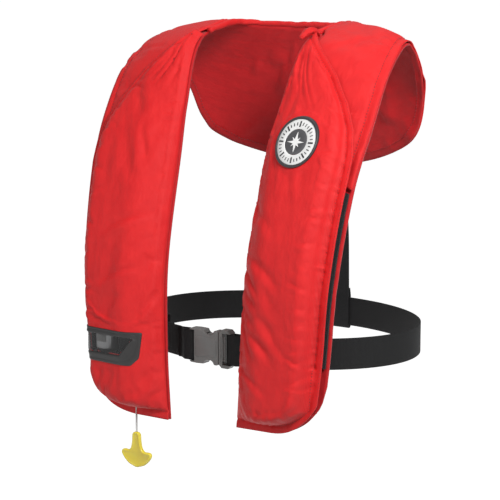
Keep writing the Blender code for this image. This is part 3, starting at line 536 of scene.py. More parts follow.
def skin(loops, closed=True):
    """Faces between rings of points, joined end to start or capped."""
    count = len(loops[0])
    faces = []
    pairs = [(k, k + 1) for k in range(len(loops) - 1)]
    if closed:
        pairs.append((len(loops) - 1, 0))
    for one, two in pairs:
        for j in range(count):
            k = (j + 1) % count
            faces.append((one * count + j, one * count + k, two * count + k, two * count + j))
    if not closed:
        last = (len(loops) - 1) * count
        faces.append(tuple(range(count - 1, -1, -1)))
        faces.append(tuple(last + j for j in range(count)))
    return faces


def ring_object(name, loops, material, closed=True, uvs=None):
    made = mesh_object(name, [p for loop in loops for p in loop], skin(loops, closed), material, uvs)
    face_outward(made)
    return made


def smooth_path(points, count):
    fixed = [Vector(p) for p in points]
    padded = [2 * fixed[0] - fixed[1]] + fixed + [2 * fixed[-1] - fixed[-2]]
    made = []
    for k in range(count):
        place = k * (len(fixed) - 1) / (count - 1)
        i = min(int(place), len(fixed) - 2)
        t = place - i
        a, b, c, d = padded[i:i + 4]
        made.append(0.5 * (2 * b + (c - a) * t + (2 * a - 5 * b + 4 * c - d) * t * t
                           + (3 * b - a - 3 * c + d) * t ** 3))
    return made


# ---------------------------------------------------------------- creases and stitches
class Patch:
    """A panel of cloth laid out on the collar as a grid, with its places in metres.

    along and across are the distances from the panel's first row and from the strip's inner
    edge; they place the creases and the UV map. points holds the grid's shape.
    """

    def __init__(self, s, w, h, from_foot=False):
        self.s, self.w, self.h = s, w, h
        self.along = travel(lobe_station(s) if from_foot else s)
        self.across = w * strip_width(s)
        self.points = None

    def shape(self):
        self.points = collar_point(self.s, self.w, self.h)

    def normals(self):
        rows = np.gradient(self.points, axis=0)
        columns = np.gradient(self.points, axis=1)
        normal = np.cross(columns, rows)
        return normal / np.maximum(np.linalg.norm(normal, axis=2, keepdims=True), 1e-12)


def crease(patch, start, end, width, depth):
    """Height change of one fold from start to end, both (along, across) in metres."""
    a, b = np.array(start), np.array(end)
    run = b - a
    length = np.linalg.norm(run)
    ax, ay = patch.along - a[0], patch.across - a[1]
    t = (ax * run[0] + ay * run[1]) / length ** 2
    side = (ax * run[1] - ay * run[0]) / length
    taper = np.clip(np.sin(pi * np.clip(t, 0.0, 1.0)), 0.0, 1.0) ** 0.7
    bend = side + 0.12 * length * np.sin(pi * t) * 0.5
    valley = np.exp(-(bend / width) ** 2)
    ridge = np.exp(-((bend - 1.7 * width) / (1.25 * width)) ** 2)
    return depth * taper * (0.62 * ridge - valley)


def puckers(patch, edge_across, rng, spacing, reach, depth, inward=-1.0, low=None, high=None):
    """Short folds square to a stitched edge whose across at each along is edge_across."""
    low = patch.along.min() if low is None else low
    high = patch.along.max() if high is None else high
    total = np.zeros_like(patch.along)
    here = low + spacing * rng.uniform(0.2, 1.0)
    while here < high:
        edge = edge_across(here)
        length = reach * rng.uniform(0.35, 1.25)
        slant = length * rng.uniform(-0.7, 0.7)
        width = rng.uniform(0.0018, 0.0034)
        total += crease(patch, (here, edge - inward * 0.002), (here + slant, edge + inward * length),
                        width, depth * rng.uniform(0.4, 1.2))
        here += spacing * rng.uniform(0.45, 1.7)
    return total


def stitches(name, points, normals, material, body=JACKET, pitch=0.0038, lift=0.0002, size=0.00095):
    """A row of thread stitches along a line of points on the cloth."""
    points, normals = np.asarray(points, float), np.asarray(normals, float)
    length = run_length(points)
    count = max(int(length[-1] / pitch), 1)
    vertices, faces = [], []
    for k in range(count):
        spots = [(k + f) * pitch for f in (0.16, 0.5, 0.84)]
        line = [np.array([np.interp(x, length, points[:, c]) for c in range(3)]) for x in spots]
        up = np.array([np.interp(spots[1], length, normals[:, c]) for c in range(3)])
        up /= np.linalg.norm(up)
        forward = line[2] - line[0]
        side = np.cross(up, forward)
        side *= size / max(np.linalg.norm(side), 1e-9)
        lifts = (-0.0002, size * 0.9 + lift, -0.0002)
        start = len(vertices)
        for spot, rise in zip(line, lifts):
            vertices += [spot + side * 0.5 + up * rise, spot - side * 0.5 + up * rise,
                         spot - side * 0.35 + up * (rise - size), spot + side * 0.35 + up * (rise - size)]
        for ring in (0, 4):
            for j in range(4):
                m = (j + 1) % 4
                near, far = start + ring, start + ring + 4
                faces.append((near + j, near + m, far + m, far + j))
        faces.append((start + 3, start + 2, start + 1, start))
        faces.append((start + 8, start + 9, start + 10, start + 11))
    made = mesh_object(name, vertices, faces, material)
    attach(made, body)
    return made


def grid_line(patch, row_places, column_places):
    """Points and normals of a line that runs through a patch's grid, between its nodes too."""
    rows, columns = np.asarray(row_places, float), np.asarray(column_places, float)
    found = []
    for values in (patch.points, patch.normals()):
        i = np.clip(rows.astype(int), 0, values.shape[0] - 2)
        j = np.clip(columns.astype(int), 0, values.shape[1] - 2)
        f, g = (rows - i)[:, None], (columns - j)[:, None]
        found.append((values[i, j] * (1 - f) + values[i + 1, j] * f) * (1 - g)
                     + (values[i, j + 1] * (1 - f) + values[i + 1, j + 1] * f) * g)
    return found


def cloth_object(name, patch, material, thickness):
    """The patch as a sheet of cloth with its UV map in metres, thickened towards the body."""
    rows, columns = patch.points.shape[:2]
    uvs = np.stack([patch.across, patch.along], axis=2).reshape(-1, 2)
    made = mesh_object(name, patch.points.reshape(-1, 3), grid_faces(rows, columns, flip=True),
                       material, uvs)
    step = made.modifiers.new("cloth_thickness", 'SOLIDIFY')
    step.thickness = thickness
    step.offset = -1.0
    return made


# ---------------------------------------------------------------- front covers
HEM_CELLS = 4
COVER_CLOTH = 0.0012
SIM_FRAMES = 20
MOVE_CAP = 0.0045
SINK_CAP = 0.0010             # towards the pieces inside
SEED = 20

WINDOW_OUTLINE = ((-0.160, -0.3430), (-0.072, -0.3450), (-0.0745, -0.3760),
                  (-0.0830, -0.3850), (-0.1585, -0.3835))
WINDOW_OPENING = ((-0.155, -0.3505), (-0.081, -0.3520), (-0.097, -0.3730), (-0.152, -0.3730))
WINDOW_BOX = ((-0.162, -0.388), (-0.070, -0.341))
BADGE_X = 0.117
BADGE_Z = -0.112
BADGE_RADIUS = 0.028
BADGE_RIM = 0.0032


def cover_grid(side):
    """Stations and widths of a cover's grid, with rows and columns along its stitch lines."""
    long_rows = np.linspace(travel(1.0), travel(FLAP_TIP), 150)
    upper = station_at(long_rows)
    foot_hem = np.linspace(0.0, HEM, HEM_CELLS + 1)
    foot_rest = np.linspace(0.0, 1.0, 28)[1:-1]
    inner = np.linspace(0.0, 1.0, 46)
    hem = np.linspace(0.0, 1.0, HEM_CELLS + 1)[1:]
    s_rows, w_rows = [], []
    for row in range(len(foot_hem) + len(foot_rest) + len(upper)):
        in_foot = row < len(foot_hem) + len(foot_rest)
        level = 0.5 if in_foot else float(upper[row - len(foot_hem) - len(foot_rest)])
        room = float(strip_width(np.array(level)) * flap_edge(np.array(level)))
        stitch = 1 - min(HEM / room, 0.5)
        v = np.concatenate([inner * stitch, stitch + (1 - stitch) * hem])
        if in_foot:
            w = v * 0.97
            start = foot_station(w, LEFT_LIFT if side > 0 else 0.0)
            if row < len(foot_hem):
                s = start + foot_hem[row] / FOOT_RISE
            else:
                low = start + HEM / FOOT_RISE
                s = low + (1 - low) * foot_rest[row - len(foot_hem)]
        else:
            w = v * float(flap_edge(np.array(level)))
            s = np.full_like(v, level)
        s_rows.append(s)
        w_rows.append(w)
    s, w = np.array(s_rows), np.array(w_rows)
    return (s, w) if side > 0 else ((COLLAR_END - s)[::-1], w[::-1])


def cover_creases(patch, side, rng):
    """Puckers at the stitch lines, and the long soft folds of a packed, worn lobe."""
    def stitched_edge(along):
        s = station_at(along)
        return float(strip_width(s) * flap_edge(s) - HEM)

    top = travel(FLAP_TIP)
    total = puckers(patch, stitched_edge, rng, 0.0105, 0.024, 0.0011, low=0.055, high=top - 0.05)
    total += puckers(patch, stitched_edge, rng, 0.016, 0.008, 0.0006, inward=1.0, low=0.055, high=top - 0.03)
    total += puckers(patch, lambda along: 0.002, rng, 0.021, 0.018, 0.0007, inward=1.0, high=top - 0.04)
    for across in np.arange(0.008, 0.100, 0.0105):
        lift = 0.055 * max(0.0, (across - 0.055) / 0.050) ** 2
        start = (HEM + lift + 0.001, across + rng.uniform(-0.003, 0.003))
        reach = rng.uniform(0.012, 0.034)
        total += crease(patch, start, (start[0] + reach, start[1] + reach * rng.uniform(-0.6, 0.6)),
                        rng.uniform(0.002, 0.0035), 0.0012 * rng.uniform(0.5, 1.2))
    for _ in range(15):
        along, across = rng.uniform(0.02, 0.26), rng.uniform(0.015, 0.085)
        run = rng.uniform(0.035, 0.085)
        lean = rng.uniform(0.5, 1.25) * side
        end = (along + run * cos(lean), across - run * sin(lean) * side)
        total += crease(patch, (along, across), end,
                        rng.uniform(0.0035, 0.0075), rng.uniform(0.0007, 0.0017))
    for _ in range(9):
        along, across = rng.uniform(0.26, top - 0.11), rng.uniform(0.02, 0.08)
        run = rng.uniform(0.03, 0.07)
        total += crease(patch, (along, across), (along + run, across + run * rng.uniform(-0.5, 0.5)),
                        rng.uniform(0.004, 0.008), rng.uniform(0.0005, 0.0012))
    for k in range(7):
        reach = rng.uniform(0.045, 0.10)
        total += crease(patch, (top - 0.004, 0.003 + 0.0012 * k), (top - reach, 0.004 + 0.0085 * k),
                        rng.uniform(0.0016, 0.0030), rng.uniform(0.0008, 0.0016))
    return total


def hem_profile(patch):
    """The doubled hem stands a little proud, and its stitching pulls a groove."""
    width = strip_width(patch.s)
    out_edge = (flap_edge(patch.s) - patch.w) * width
    foot = foot_distance(patch.s, patch.w)
    edge = np.minimum(out_edge, np.where(lobe_station(patch.s) < 1.0, foot, 1.0))
    groove = np.exp(-((edge - HEM) / 0.0016) ** 2)
    doubled = ramp(HEM - edge, 0.0, 0.002)
    cord_edge = np.exp(-((edge - 0.0012) / 0.0010) ** 2)
    return 0.0005 * doubled - 0.0013 * groove + 0.0004 * cord_edge


def smooth_zone(patch, side):
    """0 where something flat is welded or sewn on, 1 elsewhere."""
    flat = collar_point(patch.s, patch.w, patch.h)
    if side < 0:
        (low_x, low_z), (high_x, high_z) = WINDOW_BOX
        gap_x = np.maximum(low_x - flat[..., 0], flat[..., 0] - high_x)
        gap_z = np.maximum(low_z - flat[..., 2], flat[..., 2] - high_z)
        gap = np.maximum(gap_x, gap_z)
    else:
        gap = np.hypot(flat[..., 0] - BADGE_X, flat[..., 2] - BADGE_Z) - BADGE_RADIUS
    return ramp(gap, 0.0, 0.010)


def simulate(obj, patch, hold, name):
    """Cloth simulation of a sewn panel: its seams stay put, and the slack cloth buckles."""
    rest = patch.points.reshape(-1, 3).copy()
    group = obj.vertex_groups.new(name="sewn")
    for index, weight in enumerate(hold.ravel()):
        group.add([index], float(weight), 'REPLACE')
    cloth = obj.modifiers.new("cloth", 'CLOTH')
    obj.modifiers.move(len(obj.modifiers) - 1, 0)
    settings = cloth.settings
    settings.quality = 6
    settings.mass = 0.25
    settings.tension_stiffness = 25.0
    settings.compression_stiffness = 20.0
    settings.shear_stiffness = 8.0
    settings.bending_stiffness = 0.35
    settings.air_damping = 2.0
    settings.vertex_group_mass = "sewn"
    settings.pin_stiffness = 1.0
    settings.shrink_min = -0.020
    settings.use_pressure = True
    settings.uniform_pressure_force = 0.12
    settings.effector_weights.gravity = 0.35
    cloth.point_cache.frame_start = 1
    cloth.point_cache.frame_end = SIM_FRAMES
    scene = bpy.context.scene
    shown = [m for m in obj.modifiers if m != cloth]
    for modifier in shown:
        modifier.show_viewport = False
    for step in range(1, SIM_FRAMES + 1):
        scene.frame_set(step)
    evaluated = obj.evaluated_get(bpy.context.evaluated_depsgraph_get())
    moved = np.array([v.co for v in evaluated.data.vertices], float)
    obj.modifiers.remove(cloth)
    for modifier in shown:
        modifier.show_viewport = True
    scene.frame_set(1)
    shift = moved - rest
    size = np.linalg.norm(shift, axis=1, keepdims=True)
    shift *= np.minimum(1.0, MOVE_CAP / np.maximum(size, 1e-9))
    normal = patch.normals().reshape(-1, 3)
    out = (shift * normal).sum(axis=1, keepdims=True)
    shift += normal * (np.clip(out, -SINK_CAP, MOVE_CAP) - out)
    made = rest + shift
    patch.points = made.reshape(patch.points.shape)
    obj.data.vertices.foreach_set("co", made.astype(np.float32).ravel())
    obj.data.update()
    print("simulated", name, "largest move", round(float(size.max()) * 1000, 1), "mm")


def front_cover(name, side):
    s, w = cover_grid(side)
    patch = Patch(s, w, cover_height(s, w), from_foot=True)
    rng = np.random.default_rng(SEED + side)
    zone = smooth_zone(patch, side)
    inner_fade = ramp(patch.across, 0.0, 0.006)
    near_edge = ramp(flap_edge(s) * strip_width(s) - patch.across, 0.0, 0.004)
    relief = cover_creases(patch, side, rng) * zone * inner_fade * near_edge
    relief = np.clip(relief * 1.45, -0.0032, 0.0028)
    patch.h = patch.h + relief + hem_profile(patch) * ramp(zone, 0.0, 0.5)
    patch.shape()
    made = cloth_object(name + "_cloth", patch, RED, COVER_CLOTH)
    made.data.materials.append(BLACK_INSIDE_AND_SHADE)
    made.modifiers["cloth_thickness"].material_offset = 1
    hold = 1 - ramp(flap_edge(s) * strip_width(s) - HEM - patch.across, -0.0005, 0.010)
    hold = np.maximum(hold, 1 - ramp(patch.across, 0.002, 0.012))
    hold = np.maximum(hold, 1 - ramp(foot_distance(s, w) - HEM, -0.0005, 0.010))
    hold = np.maximum(hold, 1 - zone)
    hold = np.maximum(hold, ramp(lobe_station(s), 4.6, 5.1))
    hold = np.clip(hold, 0.02, 1.0)
    simulate(made, patch, hold, name)
    if side < 0:
        open_window(made)
    settle(made, stands_for=name)
    return patch


def inside(outline, x, z):
    """Whether each point lies inside a closed outline."""
    found = np.zeros(len(x), bool)
    for (x1, z1), (x2, z2) in zip(outline, outline[1:] + outline[:1]):
        crosses = (z1 > z) != (z2 > z)
        reach = (x2 - x1) * (z - z1) / ((z2 - z1) or 1e-12) + x1
        found ^= crosses & (x < reach)
    return found


def scaled(outline, factor):
    middle_x = sum(x for x, _ in outline) / len(outline)
    middle_z = sum(z for _, z in outline) / len(outline)
    return [(middle_x + (x - middle_x) * factor, middle_z + (z - middle_z) * factor)
            for x, z in outline]


def open_window(cover):
    """Takes out the cloth behind the lens; the frame covers the raw edge."""
    edit = bmesh.new()
    edit.from_mesh(cover.data)
    centres = np.array([f.calc_center_median() for f in edit.faces])
    gone = inside(scaled(WINDOW_OPENING, 1.02), centres[:, 0], centres[:, 2])
    gone &= centres[:, 1] < -0.170
    edit.faces.ensure_lookup_table()
    bmesh.ops.delete(edit, geom=[edit.faces[i] for i in np.flatnonzero(gone)], context='FACES')
    edit.to_mesh(cover.data)
    edit.free()


def cover_stitching(name, patch, side):
    """Stitch line of the hem: down the outer edge, then along the foot."""
    rows, columns = patch.points.shape[:2]
    stitch_column = columns - 1 - HEM_CELLS
    foot_row = HEM_CELLS if side > 0 else rows - 1 - HEM_CELLS
    if side > 0:
        down = np.arange(rows - 4, foot_row, -1)
    else:
        down = np.arange(3, foot_row)
    line_rows = np.concatenate([down, np.full(stitch_column - 1, foot_row)])
    line_columns = np.concatenate([np.full(len(down), stitch_column), np.arange(stitch_column, 1, -1)])
    points, normals = grid_line(patch, line_rows, line_columns)
    made = stitches(name, points, normals, THREAD)
    edge = columns - 1 - 0.6
    points, normals = grid_line(patch, down, np.full(len(down), edge))
    close = stitches(name + "_edge", points, normals, THREAD, size=0.0004)


# ---------------------------------------------------------------- linings, yoke and rolled edge
def strip_patch(start, end, margin, height, from_foot=False, foot=False, step=0.0040):
    """A panel over part of the strip, from its inner margin to its outer edge."""
    cells = max(int((travel(end) - travel(start)) / step), 4)
    places = station_at(np.linspace(travel(start), travel(end), cells))
    v = np.linspace(0.0, 1.0, 36)
    s = np.repeat(places[:, None], len(v), axis=1)
    w = np.repeat(v[None, :], len(places), axis=0)
    w = w + (1 - w) * margin(s) / strip_width(s)
    if foot:
        u = lobe_station(s)
        first = foot_station(w, np.where(s < NAPE, LEFT_LIFT, 0.0))
        u = np.where(u < 1.0, first + (1 - first) * u, u)
        s = np.where(s < NAPE, u, COLLAR_END - u)
    return Patch(s, w, height(s, w), from_foot)


def panel_creases(patch, rng, count, low, high, depth):
    """Soft folds scattered over a panel, and puckers at its outer edge."""
    total = np.zeros_like(patch.along)
    widest = float(patch.across.max())
    for _ in range(count):
        along = rng.uniform(low, high)
        across = rng.uniform(0.1, 0.8) * widest
        run = rng.uniform(0.03, 0.09)
        lean = rng.uniform(-0.9, 0.9)
        total += crease(patch, (along, across), (along + run * sin(lean), across + run * cos(lean)),
                        rng.uniform(0.0035, 0.0085), depth * rng.uniform(0.4, 1.3))

    def hem_line(along):
        return float(strip_width(station_at(along)) - HEM)

    total += puckers(patch, hem_line, rng, 0.015, 0.020, depth * 0.8, low=low, high=high)
    return total


def panel_hem(patch):
    out_edge = (1 - patch.w) * strip_width(patch.s)
    edge = out_edge
    if lobe_station(patch.s).min() < 1.0:
        foot = foot_distance(patch.s, patch.w)
        edge = np.minimum(out_edge, np.where(lobe_station(patch.s) < 1.0, foot, 1.0))
    groove = np.exp(-((edge - HEM) / 0.0016) ** 2)
    return 0.0006 * ramp(HEM - edge, 0.0, 0.0015) - 0.0012 * groove


def hem_stitches(name, patch, flip=False):
    """A stitch line HEM inside a panel's outer edge, on its outside or, with flip, its body side."""
    rows, columns = patch.points.shape[:2]
    width = strip_width(patch.s[:, -1])
    margin = patch.w[:, 0] * width
    share = (width - HEM - margin) / (width - margin)
    places = np.arange(rows)
    points, normals = grid_line(patch, places, share * (columns - 1))
    if flip:
        points = points - normals * flip
        normals = -normals
    made = stitches(name, points, normals, THREAD)


def body_panels():
    for name, side in (("body_panel_left", 1), ("body_panel_right", -1)):
        start, end = (0.0, PANEL_END - SEAM) if side > 0 else (COLLAR_END - PANEL_END + SEAM, COLLAR_END)
        patch = strip_patch(start, end, roll_margin, lambda s, w: np.full_like(s, PANEL),
                            from_foot=True, foot=True)
        rng = np.random.default_rng(SEED + 4 + side)
        relief = panel_creases(patch, rng, 16, 0.02, travel(PANEL_END), 0.0007)
        shut = 1 - ramp(patch.along, 0.0, 0.02)
        patch.h = patch.h + np.clip(relief, -0.0008, 0.0006) * (1 - shut) - 0.0002
        patch.shape()
        made = cloth_object(name + "_cloth", patch, SHADED_RED, PANEL - 0.0004)
        settle(made, stands_for=name)
        hem_stitches(name + "_stitches", patch)
        hem_stitches(name + "_back_stitches", patch, flip=PANEL - 0.0004)


def yoke():
    rng = np.random.default_rng(SEED + 9)
    lining = strip_patch(PANEL_END + SEAM, COLLAR_END - PANEL_END - SEAM, roll_margin,
                         lambda s, w: np.full_like(s, PANEL), step=0.0032)
    relief = panel_creases(lining, rng, 44, travel(PANEL_END), travel(COLLAR_END - PANEL_END), 0.0026)
    lining.h = lining.h + np.clip(relief, -0.0034, 0.0008) - 0.0003 + panel_hem(lining)
    lining.shape()
    made = cloth_object("yoke_lining_cloth", lining, SHADED_RED, 0.0016)
    settle(made, stands_for="yoke_lining")
    hem_stitches("yoke_lining_stitches", lining, flip=0.0016)

    cover = strip_patch(YOKE_START, COLLAR_END - YOKE_START, yoke_margin,
                        lambda s, w: yoke_height(s, w) + SHEET, step=0.0032)
    relief = panel_creases(cover, rng, 46, travel(YOKE_START), travel(COLLAR_END - YOKE_START), 0.0022)
    open_part = ramp(lobe_station(cover.s), 5.0, 5.8)
    limit = 0.0004 + 0.0024 * open_part
    cover.h = cover.h + np.clip(relief, -0.0014, limit) + panel_hem(cover)
    cover.shape()
    made = cloth_object("yoke_cover_cloth", cover, RED, COVER_CLOTH)
    hold = 1 - ramp((1 - cover.w) * strip_width(cover.s) - HEM, -0.0005, 0.010)
    hold = np.maximum(hold, 1 - ramp(cover.across - yoke_margin(cover.s), 0.002, 0.012))
    hold = np.maximum(hold, 1 - ramp(lobe_station(cover.s), 4.9, 5.9))
    simulate(made, cover, np.clip(hold, 0.02, 1.0), "yoke cover")
    settle(made, stands_for="yoke_cover")
    hem_stitches("yoke_cover_stitches", cover)


def neck_roll():
    """The rolled neck edge: gathered cloth round a cord, with its stitch line."""
    rng = np.random.default_rng(SEED + 12)
    count, sides = 220, 16
    places = np.linspace(ROLL_START, COLLAR_END - ROLL_START, count)
    zero, one = np.zeros_like(places), np.ones_like(places)
    middle = collar_point(places, zero, np.full_like(places, 0.004))
    across = base_point(places, one) - base_point(places, zero)
    across /= np.linalg.norm(across, axis=1, keepdims=True)
    up = outward(places, zero)
    ripples = np.zeros((count, sides))
    angle = np.arange(sides) * 2 * pi / sides
    for _ in range(70):
        at, reach, turn = rng.uniform(0, count), rng.uniform(2.0, 5.0), rng.uniform(0, 2 * pi)
        lean = rng.uniform(-4.0, 4.0)
        offset = np.arange(count)[:, None] - at - lean * np.sin(angle[None, :] - turn)
        fade = 0.5 + 0.5 * np.cos(angle[None, :] - turn)
        ripples -= rng.uniform(0.0002, 0.0007) * np.exp(-(offset / reach) ** 2) * fade
    loops = []
    for k in range(count):
        radius = ROLL_RADIUS + 0.0002 + np.clip(ripples[k], -0.0011, 0.0)
        loops.append([middle[k] + (across[k] * cos(a) + up[k] * sin(a)) * radius[j]
                      for j, a in enumerate(angle)])
    uvs = [(ROLL_RADIUS * a, travel(p)) for p in places for a in angle]
    made = ring_object("neck_roll_cloth", loops, RED, closed=False, uvs=uvs)
    settle(made, stands_for="neck_roll")
    lean = radians(35)
    normal = across * cos(lean) + up * sin(lean)
    line = stitches("neck_roll_stitches", middle + normal * (ROLL_RADIUS + 0.0001), normal, THREAD,
                    size=0.0005)


def flap_gather():
    """The bunched cloth where the left flap's tip is tacked to the rolled neck edge."""
    rng = np.random.default_rng(SEED + 15)
    place = np.array(FLAP_TIP - 0.02)
    tip = collar_point(place, np.array(0.03), np.array(0.0135))
    path = smooth_path([tip + np.array(p) for p in (
        (-0.004, -0.020, -0.007), (-0.0025, -0.011, -0.0015), (-0.0015, -0.003, 0.0005),
        (-0.001, 0.006, -0.0015), (-0.001, 0.013, -0.0055))], 26)
    loops = []
    sides = 18
    for k, point in enumerate(path):
        t = k / (len(path) - 1)
        girth = 0.0022 + 0.0030 * sin(pi * t) ** 0.8
        loop = []
        for j in range(sides):
            a = 2 * pi * j / sides
            folds = 1 + 0.16 * sin(5 * a + 3.0 * t) + 0.07 * sin(9 * a - 4 * t)
            folds += rng.uniform(-0.02, 0.02)
            loop.append((point.x + girth * folds * 1.15 * cos(a), point.y,
                         point.z + girth * folds * 0.85 * sin(a)))
        loops.append(loop)
    uvs = [(0.004 * j, 0.0015 * k) for k in range(len(path)) for j in range(sides)]
    made = ring_object("flap_gather_left", loops, RED, closed=False, uvs=uvs)
    settle(made)


# ---------------------------------------------------------------- bladder
def bladder_pack():
    """The folded air chamber, its folds showing as rounded ridges."""
    outer = ((0.3, 0.24), (1.3, 0.26), (1.8, 0.40), (2.3, 0.46), (3.2, 0.86), (9.0, 0.86))
    inner = ((0.3, 0.10), (2.3, 0.10), (2.7, 0.20), (5.3, 0.20), (6.0, 0.12), (9.0, 0.12))
    thick = ((0.3, 0.008), (1.0, 0.018), (2.3, 0.016), (2.7, 0.0020), (7.0, 0.0014), (8.0, 0.003),
             (9.0, 0.003))
    places = np.linspace(0.5, COLLAR_END - 0.5, 190)
    u = lobe_station(places)
    high, low, depth = through(outer, u), through(inner, u), through(thick, u)
    sides = 40
    loops = []
    for k, s in enumerate(places):
        a = 2 * pi * np.arange(sides) / sides
        folds = 1 - 0.10 * (0.5 + 0.5 * np.cos(7 * a + 0.4 * sin(0.31 * k)))
        w = (low[k] + high[k]) / 2 - (high[k] - low[k]) / 2 * np.cos(a) * folds
        h = PANEL + 0.0012 + depth[k] / 2 + depth[k] / 2 * np.sin(a) * folds
        loops.append(list(collar_point(np.full(sides, s), w, h)))
    uvs = [(0.002 * j, travel(s)) for s in places for j in range(sides)]
    made = ring_object("bladder_pack", loops, BLADDER, closed=False, uvs=uvs)
    settle(made, stands_for="bladder")


# ---------------------------------------------------------------- window and badge on the covers
def on_cover(x, z, lift):
    """Points lift above the covers' smooth face that have these x and z."""
    x, z = np.asarray(x, float), np.asarray(z, float)
    s, w = np.full_like(x, 2.0), np.full_like(x, 0.5)
    goal = np.stack([np.abs(x), z], axis=-1)

    def place(s, w):
        return collar_point(s, w, cover_height(s, w) + lift)

    for _ in range(14):
        here = place(s, w)[..., [0, 2]]
        by_s = (place(s + 0.01, w)[..., [0, 2]] - here) / 0.01
        by_w = (place(s, w + 0.01)[..., [0, 2]] - here) / 0.01
        gap = goal - here
        det = by_s[..., 0] * by_w[..., 1] - by_s[..., 1] * by_w[..., 0]
        s = np.clip(s + (gap[..., 0] * by_w[..., 1] - gap[..., 1] * by_w[..., 0]) / det, 0.3, 5.0)
        w = np.clip(w + (by_s[..., 0] * gap[..., 1] - by_s[..., 1] * gap[..., 0]) / det, 0.02, 0.99)
    found = place(s, w)
    found[..., 0] = np.where(x < 0, -found[..., 0], found[..., 0])
    return found


def rounded(outline, count, passes):
    """count points evenly along a closed outline, its corners rounded by averaging."""
    corners = np.array(list(outline) + [outline[0]])
    length = run_length(corners)
    places = np.arange(count) * length[-1] / count
    points = np.stack([np.interp(places, length, corners[:, c]) for c in range(2)], axis=1)
    for _ in range(passes):
        points = 0.5 * points + 0.25 * np.roll(points, 1, axis=0) + 0.25 * np.roll(points, -1, axis=0)
    return points


def even_over_face(outline, count):
    """The outline's points spread evenly by distance over the curved face."""
    dense = rounded(outline, 900, 40)
    closed = np.concatenate([dense, dense[:1]])
    spots = on_cover(closed[:, 0], closed[:, 1], 0.0)
    length = run_length(spots)
    places = np.arange(count) * length[-1] / count
    return np.stack([np.interp(places, length, closed[:, c]) for c in range(2)], axis=1)


def status_window():
    count = 200
    outer = even_over_face(WINDOW_OUTLINE, count)
    inner = even_over_face(WINDOW_OPENING, count)
    profile = ((0.0, -0.0012), (0.0, 0.0006), (0.03, 0.0012), (0.10, 0.0015), (0.30, 0.0014),
               (0.34, 0.0011), (0.38, 0.0014), (0.55, 0.0015), (0.70, 0.0022), (0.85, 0.0023),
               (0.95, 0.0017), (1.0, 0.0006), (1.0, -0.0014), (0.6, -0.0014))
    loops = []
    for share, lift in profile:
        flat = outer * (1 - share) + inner * share
        loops.append(list(on_cover(flat[:, 0], flat[:, 1], lift)))
    surround = ring_object("window_surround", loops, WINDOW_BLACK)
    settle(surround, stands_for="window_frame")
    middle = inner.mean(axis=0)
    loops = []
    for share in (1.015, 0.9, 0.75, 0.6, 0.45, 0.3, 0.15, 0.01):
        flat = middle + (inner - middle) * share
        loops.append(list(on_cover(flat[:, 0], flat[:, 1], 0.0004)))
    pane = ring_object("window_pane", loops, LENS, closed=False)
    edit = bmesh.new()
    edit.from_mesh(pane.data)
    edit.faces.ensure_lookup_table()
    rim = max(edit.faces, key=lambda f: f.calc_perimeter())
    bmesh.ops.delete(edit, geom=[rim], context='FACES_ONLY')
    edit.to_mesh(pane.data)
    edit.free()
    settle(pane, stands_for="window_lens")


def badge_rings(name, profile, material, count=96, closed=False):
    """A piece turned about the badge's centre, laid on the cover."""
    angle = 2 * pi * np.arange(count) / count
    loops = []
    for radius, lift in profile:
        x, z = BADGE_X + radius * np.cos(angle), BADGE_Z + radius * np.sin(angle)
        loops.append(list(on_cover(x, z, lift)))
    made = ring_object(name, loops, material, closed=closed)
    settle(made)
    return made


def badge_prism(name, outlines, low, high, material):
    """Raised flat figures on the badge, each given as points about its centre."""
    vertices, faces = [], []
    for outline in outlines:
        x = np.array([p[0] for p in outline]) + BADGE_X
        z = np.array([p[1] for p in outline]) + BADGE_Z
        count, start = len(outline), len(vertices)
        middle_x, middle_z = x.mean(), z.mean()
        tapered_x = middle_x + (x - middle_x) * 0.93
        tapered_z = middle_z + (z - middle_z) * 0.93
        vertices += list(on_cover(x, z, low)) + list(on_cover(tapered_x, tapered_z, high))
        vertices += list(on_cover(np.array([middle_x]), np.array([middle_z]), high))
        for j in range(count):
            k = (j + 1) % count
            faces.append((start + j, start + k, start + count + k, start + count + j))
            faces.append((start + count + j, start + count + k, start + 2 * count))
    made = mesh_object(name, vertices, faces, material, smooth=False)
    face_outward(made)
    settle(made)
    return made


def star(points, long_reach, waist_reach, turn=0.0):
    outline = []
    for k in range(2 * points):
        reach = waist_reach if k % 2 else long_reach
        a = turn + pi / 2 + pi * k / points
        outline.append((reach * cos(a), reach * sin(a)))
    return outline


def tick(angle, start, end, width):
    forward, side = Vector((cos(angle), sin(angle))), Vector((-sin(angle), cos(angle)))
    return [tuple(forward * r + side * width / 2 * f)
            for r, f in ((start, -1), (end, -1), (end, 1), (start, 1))]


